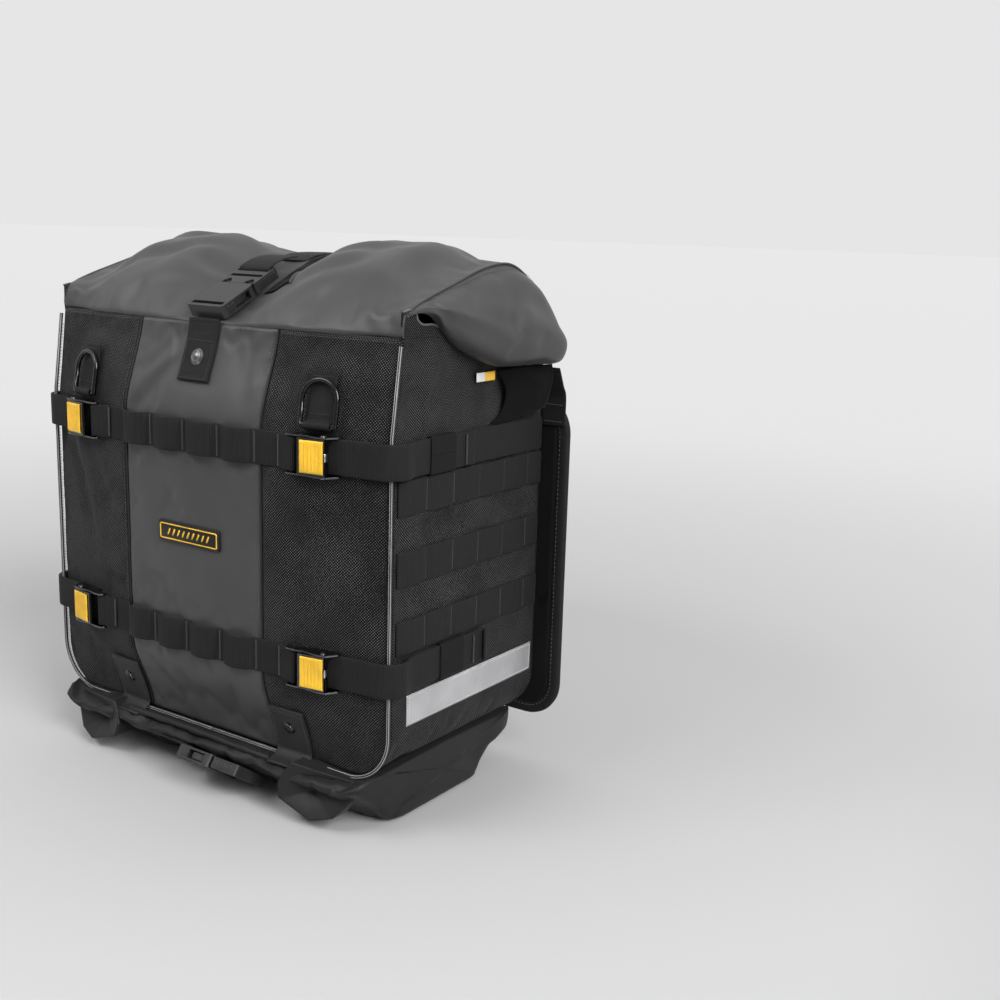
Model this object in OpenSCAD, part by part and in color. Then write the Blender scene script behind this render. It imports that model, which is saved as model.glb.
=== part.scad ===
// Soft motorcycle saddlebag: boxy fabric body with a rolled top, cam-buckle straps,
// webbing rows on both sides, a pouch below and a stiff mounting board behind.
// Millimetres. +X is right seen from the front, +Y goes back to the bike, Z = 0 is the ground.

/* [Body] */
// Width of the body across the front edge piping
body_w = 424; // [410:1:436]
// Depth of the body from the front edge piping to the back panel
body_d = 220; // [212:1:228]
// Height of the body from its base to the top seam
body_h = 379; // [376:1:382]
// How far the middle of the front stands forward of its edge piping
front_bulge = 25; // [18:1:28]
// How far the front leans back at the top seam
top_lean = 10; // [6:1:12]
// Radius of the two lower corners
corner_r = 44; // [38:1:46]
// Thickness of the sewn fabric panels
fabric_t = 2.4; // [1.8:0.1:2.6]

/* [Rolled top] */
// Height of the rolled top above the top seam
roll_h = 74; // [70:1:78]
// How far the closing strap pulls the middle of the top down
roll_dip = 20; // [16:1:22]
// How far each folded end stands out past the side
ear_reach = 40; // [34:1:42]

/* [Pouch] */
// Height of the pouch below the body
pouch_h = 50; // [48:1:52]
// Width of the pouch
pouch_w = 390; // [360:1:396]

/* [Webbing] */
// Width of the strap and grid webbing
web_w = 30; // [29:0.5:30]
// Thickness of one layer of webbing
web_t = 1.5; // [1.3:0.1:1.6]
// Height of the middle of the lower side straps
low_strap_z = 145.5; // [144.5:0.5:146]
// Height of the middle of the upper side straps
high_strap_z = 330.5; // [330:0.5:331.5]
// Width of the closing webbing
closing_w = 38; // [36:1:38]

/* [Board] */
// Width of the mounting board
board_w = 480; // [470:1:486]
// Height of the mounting board
board_h = 314; // [306:1:318]

/* [Hidden] */
$fn = 48;
half_w = body_w / 2;
base_z = pouch_h;
top_z = base_z + body_h;
foot_rise = 80;
brow_z = 348;
front_y = -96.1;
seam_x = 86;
straps = [["upper_right", 1, high_strap_z], ["upper_left", -1, high_strap_z],
          ["lower_right", 1, low_strap_z], ["lower_left", -1, low_strap_z]];

fabric_black = [0.13, 0.13, 0.13];
coated_grey = [0.27, 0.27, 0.28];
web_black = [0.17, 0.17, 0.17];
plastic_black = [0.09, 0.09, 0.09];
metal_black = [0.12, 0.12, 0.13];
pad_yellow = [0.94, 0.76, 0.22];
steel = [0.72, 0.72, 0.74];

// ---- Shape of the front ----

function smooth(t) = let(c = min(1, max(0, t))) c * c * (3 - 2 * c);
function sag(z) = smooth((z - base_z) / foot_rise)
    * (1 - 0.55 * smooth((z - brow_z) / (top_z - brow_z)));
function lean(z) = top_lean * max(0, z - brow_z) / (top_z - brow_z);
function face_y(x, z) = lean(z)
    - front_bulge * sag(z) * (1 - pow(min(1, abs(x) / half_w), 2.5));
function turn_at(x, z) = atan((face_y(x + 1, z) - face_y(x - 1, z)) / 2);
function tilt_at(x, z) = -atan((face_y(x, z + 1) - face_y(x, z - 1)) / 2);
function corner_inset(z) = let(h = max(0, base_z + corner_r - z))
    corner_r - sqrt(corner_r * corner_r - h * h);

// Puts a piece on the front face: local X along the face, Y into the bag, Z up the face
module on_front(x, z) {
    translate([x, face_y(x, z), z])
        rotate([0, 0, turn_at(x, z)])
            rotate([tilt_at(x, z), 0, 0])
                children();
}

// Moves the front edge piping's plane to its place in the part's frame
module placed() {
    translate([0, front_y, 0])
        children();
}

module mirrored(side) {
    mirror([side < 0 ? 1 : 0, 0, 0])
        children();
}

// ---- Lofted sheets ----

function flat_list(rows) = [for (row = rows) each row];
function skin_faces(rows, cols, first, flip) = [
    for (i = [0:rows - 2], j = [0:cols - 2])
        let(a = first + i * cols + j, b = a + 1, c = a + cols, d = c + 1)
            each flip ? [[a, b, d], [a, d, c]] : [[a, d, b], [a, c, d]]];
function edge_faces(loop, shift) = [
    for (i = [0:len(loop) - 1])
        let(a = loop[i], b = loop[(i + 1) % len(loop)])
            each [[a, b, b + shift], [a, b + shift, a + shift]]];
function rim(rows, cols) = concat([for (j = [0:cols - 2]) j],
    [for (i = [0:rows - 2]) i * cols + cols - 1],
    [for (j = [cols - 1:-1:1]) (rows - 1) * cols + j],
    [for (i = [rows - 1:-1:1]) i * cols]);

// Closed solid between two grids of points with the same rows and columns
module sheet(outer, inner) {
    rows = len(outer);
    cols = len(outer[0]);
    polyhedron(points = concat(flat_list(outer), flat_list(inner)),
        faces = concat(skin_faces(rows, cols, 0, false),
            skin_faces(rows, cols, rows * cols, true),
            edge_faces(rim(rows, cols), rows * cols)));
}

// Closed solid through a row of rings of points, all with the same number of points
module loft(rings) {
    n = len(rings[0]);
    last = (len(rings) - 1) * n;
    polyhedron(points = flat_list(rings),
        faces = concat([[for (k = [0:n - 1]) k]], [[for (k = [n - 1:-1:0]) last + k]],
            [for (i = [0:len(rings) - 2], k = [0:n - 1])
                let(a = i * n + k, b = i * n + (k + 1) % n)
                    each [[b, a, a + n], [b, a + n, b + n]]]));
}

// ---- Ribbons of webbing seen edge-on ----

function away(path, i) = let(a = path[max(i - 1, 0)], b = path[min(i + 1, len(path) - 1)],
    d = b - a) [d[1], -d[0]] / norm(d);
function moved(path, gap) = [for (i = [0:len(path) - 1]) path[i] + gap * away(path, i)];
function backwards(path) = [for (i = [len(path) - 1:-1:0]) path[i]];

module ribbon(path, thickness = web_t) {
    polygon(concat(path, backwards(moved(path, thickness))));
}

// A ribbon in the XY plane, standing on its edge around height z
module upright_ribbon(path, z, width = web_w, thickness = web_t) {
    translate([0, 0, z - width / 2])
        linear_extrude(width)
            ribbon(path, thickness);
}

// A ribbon in the YZ plane, centred on x
module cross_ribbon(path, x, width, thickness = web_t) {
    translate([x - width / 2, 0, 0])
        rotate([90, 0, 90])
            linear_extrude(width)
                ribbon(path, thickness);
}

module rounded_rect(w, h, r) {
    translate([-w / 2 + r, 0])
        square([w - 2 * r, h]);
    translate([-w / 2, r])
        square([w, h - 2 * r]);
    for (x = [-w / 2 + r, w / 2 - r], z = [r, h - r])
        translate([x, z])
            circle(r);
}

// ---- Body panels ----

// Heights of the front panels' rows, closer together where the front is curved
panel_rows = concat([for (a = [0:15:90]) base_z + corner_r * (1 - cos(a))],
    [for (i = [1:5]) base_z + corner_r + i * (foot_rise - corner_r + 4) / 5],
    [for (i = [1:4]) base_z + foot_rise + 4 + i * (brow_z - base_z - foot_rise - 4) / 4],
    [for (z = [brow_z + 10:10:top_z - 1]) z], [top_z]);

module bowed_panel(low_edge, high_edge, columns) {
    outer = [for (z = panel_rows) [for (j = [0:columns])
        let(x = low_edge(z) + j * (high_edge(z) - low_edge(z)) / columns)
            [x, face_y(x, z), z]]];
    inner = [for (row = outer) [for (p = row) p + [0, fabric_t, 0]]];
    sheet(outer, inner);
}

module front_center_panel() {
    color(coated_grey)
        placed()
            bowed_panel(function(z) -seam_x, function(z) seam_x, 10);
}

module front_side_panel(side) {
    color(fabric_black)
        placed()
            mirrored(side)
                bowed_panel(function(z) seam_x, function(z) half_w - corner_inset(z), 8);
}

module front_left_panel() front_side_panel(-1);
module front_right_panel() front_side_panel(1);

// Side wall with its rounded lower corner; its front edge follows the leaning front
module side_wall() {
    wall_y = fabric_t + 0.1;
    difference() {
        union() {
            translate([half_w - fabric_t, wall_y, base_z + corner_r])
                cube([fabric_t, body_d - fabric_t - wall_y, body_h - corner_r]);
            translate([half_w - corner_r, body_d - fabric_t, base_z + corner_r])
                rotate([90, 0, 0])
                    intersection() {
                        difference() {
                            cylinder(r = corner_r, h = body_d - fabric_t - wall_y);
                            cylinder(r = corner_r - fabric_t, h = body_d - fabric_t - wall_y);
                        }
                        translate([0, -corner_r, 0])
                            cube([corner_r, corner_r, body_d]);
                    }
        }
        translate([half_w - 2 * fabric_t, wall_y, brow_z])
            rotate([-atan(top_lean / (top_z - brow_z)), 0, 0])
                translate([0, -2 * top_lean, 0])
                    cube([3 * fabric_t, 2 * top_lean, body_h]);
    }
}

module left_side_panel() {
    color(fabric_black)
        placed()
            mirrored(-1)
                side_wall();
}

module right_side_panel() {
    color(fabric_black)
        placed()
            side_wall();
}

module base_panel() {
    color(fabric_black)
        placed()
            translate([corner_r - half_w, fabric_t + 0.1, base_z])
                cube([body_w - 2 * corner_r, body_d - 2 * fabric_t - 0.1, fabric_t]);
}

module back_panel() {
    color(fabric_black)
        placed()
            translate([0, body_d, base_z])
                rotate([90, 0, 0])
                    linear_extrude(fabric_t) {
                        translate([corner_r - half_w, 0])
                            square([body_w - 2 * corner_r, corner_r]);
                        translate([-half_w, corner_r])
                            square([body_w, body_h - corner_r]);
                        for (x = [corner_r - half_w, half_w - corner_r])
                            translate([x, corner_r])
                                circle(corner_r);
                    }
}

module base_stiffener() {
    gap = 6;
    color("dimgray")
        placed()
            translate([corner_r - half_w, gap, base_z + fabric_t])
                cube([body_w - 2 * corner_r, body_d - 2 * gap, 3]);
}

// ---- Mounting board ----

board_y = body_d + 0.5;
board_t = 6;
board_skin = 1;
board_r = 34;

module board_plate(grow, y, t) {
    translate([0, y + t, base_z - grow])
        rotate([90, 0, 0])
            linear_extrude(t)
                rounded_rect(board_w + 2 * grow, board_h + 2 * grow, board_r + grow);
}

module backboard_core() {
    color("gray")
        placed()
            board_plate(-1, board_y + board_skin, board_t - 2 * board_skin);
}

module backboard_cover() {
    color(plastic_black)
        placed()
            difference() {
                board_plate(0, board_y, board_t);
                board_plate(-1, board_y + board_skin, board_t - 2 * board_skin);
            }
}

// Bound edge, folded over both faces of the board
module backboard_binding() {
    fold = 9;
    lip = 0.45;
    color(web_black)
        placed()
            difference() {
                board_plate(2, board_y - lip, board_t + 2 * lip);
                board_plate(0, board_y, board_t);
                board_plate(-fold, board_y - 1, board_t + 2);
            }
}

// ---- Loops on the back of the board for rack straps ----

rack_x = 120;
rack_z = [150, 305];
rack_stand = 6.5;

module rack_loops() {
    y = board_y + board_t;
    color(web_black)
        placed()
            for (x = [-rack_x, rack_x], z = rack_z)
                cross_ribbon([[y, z + 42], [y, z + 26], [y + rack_stand, z + 18],
                    [y + rack_stand, z - 18], [y, z - 26], [y, z - 42]], x, closing_w, -web_t);
}

// ---- Rolled top ----

// Side outline of the top as [part of the depth, part of the height], high sides and low middle
high_outline = [[0, 0], [0.06, 0.3], [0.17, 0.58], [0.32, 0.83], [0.47, 0.97], [0.61, 1],
    [0.75, 0.88], [0.88, 0.6], [0.97, 0.26], [1, 0]];
low_outline = [[0, 0], [0.09, 0.13], [0.19, 0.31], [0.3, 0.55], [0.42, 0.8], [0.56, 0.97],
    [0.73, 0.99], [0.87, 0.72], [0.96, 0.32], [1, 0]];

function end_drop(x) = 1 - 0.17 * smooth((abs(x) - 150) / (half_w - 150));
function top_outline(x) = let(w = smooth(abs(x) / 100), y0 = face_y(x, top_z),
    low = roll_h - roll_dip, high = roll_h * end_drop(x))
    [for (i = [0:len(high_outline) - 1])
        let(p = high_outline[i], q = low_outline[i])
            [y0 + (body_d - y0) * (w * p[0] + (1 - w) * q[0]),
                top_z + w * high * p[1] + (1 - w) * low * q[1]]];
function inward(path) = let(n = len(path) - 1)
    [for (i = [0:n]) i == 0 ? path[0] + [fabric_t, 0]
        : i == n ? path[n] - [fabric_t, 0]
        : path[i] + fabric_t * away(path, i)];

module roll_top_cover() {
    columns = 20;
    places = [for (j = [0:columns]) -half_w + j * body_w / columns];
    outer = [for (x = places) [for (p = top_outline(x)) [x, p[0], p[1]]]];
    inner = [for (x = places) [for (p = inward(top_outline(x))) [x, p[0], p[1]]]];
    color(coated_grey)
        placed()
            sheet(outer, inner);
}

// Folded end of the roll, hanging over the side wall: [depth, top, middle, low] heights above
// the top seam, and the part of the full reach at each station
ear_rows = [[12, 22, 10, 0.5, 0.12], [42, 36, 8, -10, 0.36], [82, 48, 6, -21, 0.62],
    [122, 57, 2, -28, 0.84], [160, 54, -4, -33, 0.98], [192, 40, -11, -34, 1],
    [214, 16, -18, -34, 0.7]];

function ear_ring(r) = let(x = half_w + 0.3, reach = ear_reach * r[4], y = r[0],
    top = top_z + r[1], mid = top_z + r[2], low = top_z + r[3])
    [[x, y, top], [x + 0.45 * reach, y, top - 0.3 * (top - mid)],
        [x + 0.85 * reach, y, mid + 0.25 * (top - mid)], [x + reach, y, mid],
        [x + 0.8 * reach, y, mid - 0.6 * (mid - low)], [x + 0.3 * reach, y, low],
        [x, y, low + 1]];

module roll_end(side) {
    color(coated_grey)
        placed()
            mirrored(side)
                loft([for (r = ear_rows) ear_ring(r)]);
}

module roll_end_left() roll_end(-1);
module roll_end_right() roll_end(1);

// Stiff strip sewn into the mouth, rolled up inside the top
module mouth_stiffener() {
    strip_w = 25;
    color("dimgray")
        placed()
            translate([-180, 125, top_z + roll_h - roll_dip - 16])
                cube([360, strip_w, 2]);
}

// Short straps that hold the folded ends down to the board
module roll_straps() {
    z0 = base_z + board_h;
    color(web_black)
        placed()
            for (x = [-226, 226])
                cross_ribbon([[board_y - 0.5, z0 - 26], [board_y - 0.5, z0 + 4],
                    [board_y - 9, z0 + 21], [board_y - 13, z0 + 30]], x, web_w - 4, -web_t);
}

// ---- Side-release buckles ----
// Local frame: X along the strap, from the socket to the plug, Z out of the face;
// the socket's mouth is at X = 0.

socket_l = 42;
buckle_w = 46;
buckle_t = 12;
plug_l = 34;
prong_y = 14;
prong_root = 6;
release_travel = 28;

module rounded_block(l, w, t, r) {
    translate([0, 0, -t / 2])
        linear_extrude(t)
            translate([l / 2, -w / 2])
                rounded_rect(l, w, r);
}

module buckle_socket() {
    cavity = 8;
    difference() {
        translate([-socket_l, 0, 0])
            rounded_block(socket_l, buckle_w, buckle_t, 4);
        translate([-30, -buckle_w / 2 + 3, -cavity / 2])
            cube([32, buckle_w - 6, cavity]);
        translate([-27, -buckle_w, -cavity / 2])
            cube([20, 2 * buckle_w, cavity]);
        translate([-38.5, -closing_w / 2 - 0.5, -buckle_t])
            cube([4.5, closing_w + 1, 2 * buckle_t]);
    }
}

module buckle_plug() {
    difference() {
        union() {
            translate([2, 0, 0])
                rounded_block(plug_l - 2, buckle_w - 2, 10, 3);
            translate([-24, -4, -3])
                cube([28, 8, 6]);
        }
        for (side = [-1, 1]) {
            translate([prong_root, side * prong_y, -6])
                cylinder(r = 3.4, h = 12);
            translate([0, side * prong_y - 5, -6])
                cube([prong_root, 10, 12]);
        }
        for (x = [14, 24])
            translate([x, -closing_w / 2 - 0.5, -6])
                cube([4, closing_w + 1, 12]);
    }
}

// Springy arm with its catch in the socket's side window
module buckle_prong(side) {
    mirror([0, side < 0 ? 1 : 0, 0])
        translate([0, 0, -3])
            linear_extrude(6) {
                translate([prong_root, prong_y])
                    circle(3);
                polygon([[prong_root, prong_y - 2], [prong_root, prong_y + 2], [-8, prong_y + 3],
                    [-17, prong_y + 6.3], [-24, prong_y + 5.8], [-26, prong_y + 2],
                    [-22, prong_y - 1], [-8, prong_y - 2]]);
            }
}

// ---- Closing strap over the top ----

closing_tilt = 27;
closing_mouth = [36, 457];
snap_z = 398;

module at_closing_buckle() {
    translate([0, closing_mouth[0], closing_mouth[1]])
        rotate([closing_tilt, 0, 0])
            rotate([0, 0, 90])
                children();
}

module closure_tab() {
    stitch_z = 378;
    path = concat([for (z = [stitch_z:10:top_z]) [face_y(0, z) - 0.2, z]],
        [[-1.6, top_z + 3]]);
    color(web_black)
        placed()
            difference() {
                cross_ribbon(path, 0, closing_w, -2 * web_t);
                on_front(0, snap_z)
                    translate([0, -20, 0])
                        rotate([-90, 0, 0])
                            cylinder(r = 3.2, h = 40);
            }
}

// Press stud: domed cap in front, its post through the tab
module closure_snap() {
    color(steel)
        placed()
            on_front(0, snap_z)
                translate([0, -5.1, 0])
                    rotate([-90, 0, 0]) {
                        cylinder(r1 = 5, r2 = 7.5, h = 1.6);
                        cylinder(r = 3, h = 4.4);
                    }
}

module closure_buckle_female() {
    color(plastic_black)
        placed()
            at_closing_buckle()
                buckle_socket();
}

module closure_buckle_male() {
    color(plastic_black)
        placed()
            at_closing_buckle()
                buckle_plug();
}

module closure_prong_left() {
    color(plastic_black)
        placed()
            at_closing_buckle()
                buckle_prong(1);
}

module closure_prong_right() {
    color(plastic_black)
        placed()
            at_closing_buckle()
                buckle_prong(-1);
}

// Webbing sewn to the back panel, over the top to just behind the buckle
module closure_strap() {
    top = top_z + roll_h - roll_dip;
    color(web_black)
        placed()
            cross_ribbon([[body_d + 0.2, top_z - 55], [body_d + 0.4, top_z - 20],
                [body_d + 0.8, top_z + 4], [213, top_z + 22], [199, top_z + 40], [182, top + 2],
                [158, top + 4.5], [125, top + 3.5], [106, top - 2]], 0, closing_w);
}

// Doubled end of the closing webbing in the plug's ladder bars
module closure_strap_end() {
    color(web_black)
        placed()
            at_closing_buckle()
                translate([0, closing_w / 2, 0])
                    rotate([90, 0, 0])
                        linear_extrude(closing_w)
                            ribbon([[26, -3], [26.2, 5.4], [34, 5.8], [44, 5], [56, 2],
                                [66, -2]], -web_t);
}

// ---- Side straps with their cam buckles ----

buckle_x = 145;
lift = 2.2;

// Line of a strap from inside the cam buckle, round the front corner and along the side wall
function strap_line(x0, y1, gap) = concat(
    [for (x = [x0:8:186]) [x, face_y(x, high_strap_z) - gap]],
    [for (a = [-84:14:0]) [half_w - 8 + (13.8 + gap) * cos(a), 8 + (13.8 + gap) * sin(a)]],
    [[half_w + gap + 0.6, 22], [half_w + gap, 30], [half_w + gap, y1]]);

module strap_pair(side, z, base_end, tail_end) {
    color(web_black)
        placed()
            mirrored(side) {
                upright_ribbon(strap_line(buckle_x - 8, base_end, lift), z);
                upright_ribbon(strap_line(buckle_x + 8, tail_end, lift + web_t), z);
            }
}

high_base_end = body_d - 4;
high_tail_end = 106;
low_base_end = 128;
low_tail_end = 126;

module straps_side(side) {
    strap_pair(side, high_strap_z, high_base_end, high_tail_end);
    strap_pair(side, low_strap_z, low_base_end, low_tail_end);
}

module straps_left() straps_side(-1);
module straps_right() straps_side(1);

// Elastic loop round both layers of a strap, free to slide along it
module keeper(side, y, z) {
    keeper_l = 35;
    band = 1.1;
    free = 0.4;
    inner = lift - 0.35;
    outer = lift + 2 * web_t + free;
    tall = web_w / 2 + free;
    color(plastic_black)
        placed()
            mirrored(side)
                translate([half_w, y, z])
                    difference() {
                        translate([inner - band, 0, -tall - band])
                            cube([outer - inner + 2 * band, keeper_l, 2 * (tall + band)]);
                        translate([inner, -1, -tall])
                            cube([outer - inner, keeper_l + 2, 2 * tall]);
                    }
}

module keeper_upper_left() keeper(-1, 43, high_strap_z);
module keeper_upper_right() keeper(1, 43, high_strap_z);
module keeper_lower_left() keeper(-1, 62, low_strap_z);
module keeper_lower_right() keeper(1, 62, low_strap_z);

// Cam buckle's local frame: X outward along the strap, Y into the bag, Z up, on the front face
frame_in = -25;
frame_out = 24;
pin_x = 12;
pin_y = -10.6;
pin_r = 2;
bar_x = -20;
bar_y = -6.6;
flange_t = 1.5;
flange_z = web_w / 2 + 0.6;

module at_cam_buckle(strap) {
    mirrored(strap[1])
        on_front(buckle_x, strap[2])
            children();
}

module buckle_frame() {
    difference() {
        union() {
            for (z = [-flange_z - flange_t, flange_z])
                translate([0, 0, z])
                    linear_extrude(flange_t)
                        polygon([[frame_out, -1], [frame_out, -6], [17, -14.5], [8, -15],
                            [-6, -12], [-16, -12.5], [frame_in, -11], [frame_in - 1.5, -8],
                            [frame_in - 1, -5], [-22, -3.5], [-12, -4.5], [-10, -0.5],
                            [frame_out - 2, -0.5]]);
            translate([-10, -1.7, -flange_z - 0.2])
                cube([frame_out + 8, 1.2, 2 * flange_z + 0.4]);
        }
        translate([pin_x, pin_y, -30])
            cylinder(r = pin_r + 0.03, h = 60);
    }
    translate([bar_x, bar_y, -flange_z - 0.2])
        cylinder(r = 1.9, h = 2 * flange_z + 0.4);
}

module buckle_frames() {
    color(metal_black)
        placed()
            for (strap = straps)
                at_cam_buckle(strap)
                    buckle_frame();
}

module cam_pins() {
    color(steel)
        placed()
            for (strap = straps)
                at_cam_buckle(strap)
                    translate([pin_x, pin_y, -flange_z - flange_t - 0.8])
                        cylinder(r = pin_r, h = 2 * (flange_z + flange_t + 0.8));
}

// Torsion spring on the pin, in the lever's middle notch
module cam_springs() {
    color(steel)
        placed()
            for (strap = straps)
                at_cam_buckle(strap)
                    translate([pin_x, pin_y, -3.2])
                        difference() {
                            cylinder(r = 3.4, h = 6.4);
                            translate([0, 0, -1])
                                cylinder(r = pin_r + 0.1, h = 9);
                        }
}

// Lever whose hub presses the strap; it swings out of the front round the pin
module cam_lever(strap) {
    tall = 2 * flange_z - 0.8;
    color(metal_black)
        placed()
            at_cam_buckle(strap)
                translate([pin_x, pin_y, -tall / 2])
                    difference() {
                        union() {
                            cylinder(r = 4.1, h = tall);
                            translate([-23, -4.1, 0])
                                cube([26.6, 2.4, tall]);
                        }
                        translate([0, 0, -1])
                            cylinder(r = pin_r + 0.05, h = tall + 2);
                        translate([-4.4, -1.6, tall / 2 - 4])
                            cube([9, 9, 8]);
                        translate([-3.8, -3.9, tall / 2 - 4])
                            cube([8.4, 4, 8]);
                    }
}

module lever_pad(strap) {
    pad_w = 23;
    pad_h = 27.5;
    color(pad_yellow)
        placed()
            at_cam_buckle(strap)
                translate([pin_x - 20.2, pin_y - 4.1 - 1.8, -pad_h / 2])
                    cube([pad_w, 1.8, pad_h]);
}

module cam_lever_upper_left() cam_lever(straps[1]);
module cam_lever_upper_right() cam_lever(straps[0]);
module cam_lever_lower_left() cam_lever(straps[3]);
module cam_lever_lower_right() cam_lever(straps[2]);
module lever_pad_upper_left() lever_pad(straps[1]);
module lever_pad_upper_right() lever_pad(straps[0]);
module lever_pad_lower_left() lever_pad(straps[3]);
module lever_pad_lower_right() lever_pad(straps[2]);

// ---- Webbing across the front, sewn into loops ----

loop_pitch = 2 * seam_x / 4;
loop_l = 33;
loop_stand = 7;

function loop_rise(x) = let(t = ((x + seam_x) % loop_pitch) / loop_l)
    abs(x) < seam_x && t < 1 ? loop_stand * pow(sin(180 * t), 0.6) : 0;
function bar_place(z) = let(a = turn_at(buckle_x, z))
    [buckle_x + bar_x * cos(a) - bar_y * sin(a),
        face_y(buckle_x, z) + bar_x * sin(a) + bar_y * cos(a)];

module daisy_chain(z) {
    reach = buckle_x - 30;
    path = [for (x = [-reach:2:reach]) [x, face_y(x, z) - 0.2 - loop_rise(x)]];
    bar = bar_place(z);
    edge = [reach - 2, face_y(reach - 2, z) - 0.2];
    color(web_black)
        placed() {
            upright_ribbon(path, z);
            for (side = [-1, 1])
                mirrored(side)
                    translate([0, 0, z - web_w / 2])
                        linear_extrude(web_w)
                            difference() {
                                union() {
                                    translate(bar)
                                        circle(1.95 + web_t);
                                    polygon([edge, bar + [0.5, 1.95 + web_t],
                                        bar + [-2.4, -2.4], edge - [0, web_t]]);
                                }
                                translate(bar)
                                    circle(1.95);
                            }
        }
}

module daisy_upper() daisy_chain(high_strap_z);
module daisy_lower() daisy_chain(low_strap_z);

// ---- D-rings ----

ring_x = 147;
ring_z = 354;
ring_wire = 2.2;
ring_half = 17;
ring_h = 38;

module at_ring(side) {
    mirrored(side)
        on_front(ring_x, ring_z)
            children();
}

// Ring with its straight bar at the origin, its bow standing up
module d_ring(side) {
    ring_y = -5.2;
    color(metal_black)
        placed()
            at_ring(side)
                translate([0, ring_y, 0]) {
                    rotate([0, 90, 0])
                        cylinder(r = ring_wire, h = 2 * ring_half, center = true);
                    for (x = [-ring_half, ring_half])
                        translate([x, 0, 0]) {
                            sphere(ring_wire);
                            cylinder(r = ring_wire, h = ring_h - ring_half);
                        }
                    translate([0, 0, ring_h - ring_half])
                        rotate([90, 0, 0])
                            intersection() {
                                rotate_extrude()
                                    translate([ring_half, 0])
                                        circle(ring_wire);
                                translate([-50, 0, -10])
                                    cube([100, 50, 20]);
                            }
                }
}

module d_ring_left() d_ring(-1);
module d_ring_right() d_ring(1);

// Sewn tabs behind the rings, looped round the rings' straight bars
module d_ring_tabs() {
    tab_w = 26;
    color(web_black)
        placed()
            for (side = [-1, 1])
                at_ring(side) {
                    translate([-tab_w / 2, -2.4, -3.9])
                        cube([tab_w, 2, 50]);
                    translate([-tab_w / 2, -5.2, 0])
                        rotate([0, 90, 0])
                            difference() {
                                cylinder(r = ring_wire + 0.05 + web_t, h = tab_w);
                                translate([0, 0, -1])
                                    cylinder(r = ring_wire + 0.05, h = tab_w + 2);
                            }
                }
}

// ---- Sides: webbing rows, reflective strip, tag ----

row_z = [178, 238, 298];

module molle_rows() {
    margin = 4;
    color(web_black)
        placed()
            for (side = [-1, 1], z = row_z)
                mirrored(side)
                    translate([half_w, margin + 2, z - web_w / 2])
                        cube([web_t, body_d - 2 * margin - 2, web_w]);
}

module reflective_strips() {
    strip_z = 96;
    color("silver")
        placed()
            for (side = [-1, 1])
                mirrored(side)
                    translate([half_w, 22, strip_z])
                        cube([0.9, 193, 29]);
}

module side_tag() {
    color(pad_yellow)
        placed()
            translate([half_w, 112, 386])
                cube([1.6, 28, 8]);
}

module badge() {
    badge_w = 78;
    badge_h = 19;
    badge_z = 240;
    color(plastic_black)
        placed()
            translate([0, face_y(0, badge_z) - 0.1, badge_z - badge_h / 2])
                rotate([90, 0, 0])
                    linear_extrude(2.6)
                        rounded_rect(badge_w, badge_h, 1.5);
}

// ---- Piping round the front edge ----

module pipe_between(a, b) {
    d = b - a;
    translate(a)
        rotate([0, acos(d[2] / norm(d)), atan2(d[1], d[0])])
            cylinder(r = 2, h = norm(d));
}

module piping() {
    x = half_w + 1.2;
    y = -2.1;
    r = corner_r + 1.2;
    color("silver")
        placed()
            for (side = [-1, 1])
                mirrored(side) {
                    pipe_between([x, y, base_z + corner_r], [x, y, brow_z]);
                    pipe_between([x, y, brow_z], [x, y + top_lean, top_z - 6]);
                    translate([half_w - corner_r, y, base_z + corner_r])
                        rotate([90, 0, 0])
                            intersection() {
                                rotate_extrude()
                                    translate([r, 0])
                                        circle(2);
                                translate([0, -60, -5])
                                    cube([60, 60, 10]);
                            }
                    pipe_between([0, y, base_z - 1.2], [half_w - corner_r, y, base_z - 1.2]);
                }
}

// ---- Pouch below ----

pouch_wall = 2.5;
pouch_outline = [[-8, 46], [-18, 44], [-24, 38.3], [10.7, 14], [26, 0], [152, 0], [166, 12],
    [172, 22], [208, 32], [216, 46]];
pouch_hollow = [[0, 43], [-13, 41], [-17, 37.5], [13, 16.5], [28, 3], [150, 3], [162, 14],
    [168, 25], [202, 35], [206, 43]];
// Outline of the folded corner seen from the front, and its depth in front of the pouch
corner_outline = [[107, 33], [109, 22], [143, 9], [165, 10], [187, 34], [184, 45], [134, 45], [122, 41]];
corner_front = -25;

module pouch_body() {
    color(fabric_black)
        placed() {
            translate([-pouch_w / 2, 0, 0])
                rotate([90, 0, 90])
                    difference() {
                        linear_extrude(pouch_w)
                            polygon(pouch_outline);
                        translate([0, 0, pouch_wall])
                            linear_extrude(pouch_w - 2 * pouch_wall)
                                polygon(pouch_hollow);
                    }
            for (side = [-1, 1])
                mirrored(side)
                    translate([0, 9, 0])
                        rotate([90, 0, 0])
                            linear_extrude(9 - corner_front)
                                polygon(corner_outline);
        }
}

// Sewn tabs that hang the pouch from the front, each with one rivet
tab_x = 106;
rivet_z = 80;

module pouch_tabs() {
    color(fabric_black)
        placed()
            for (side = [-1, 1])
                mirrored(side)
                    translate([tab_x, 0, 0])
                        rotate([0, 0, turn_at(tab_x, rivet_z)])
                            cross_ribbon(concat([for (z = [98:-8:52]) [face_y(tab_x, z) - 3.3, z]],
                                [[-9, 49.2], [-18.6, 46.6]]), 0, 40, -2);
}

module rivets() {
    color(metal_black)
        placed()
            for (side = [-1, 1])
                mirrored(side)
                    on_front(tab_x, rivet_z)
                        translate([0, -5.1, 0])
                            rotate([-90, 0, 0])
                                cylinder(r1 = 4, r2 = 6.5, h = 1.8);
}

pouch_mouth = [34, -20, 25];
pouch_tilt = 145;

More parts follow.
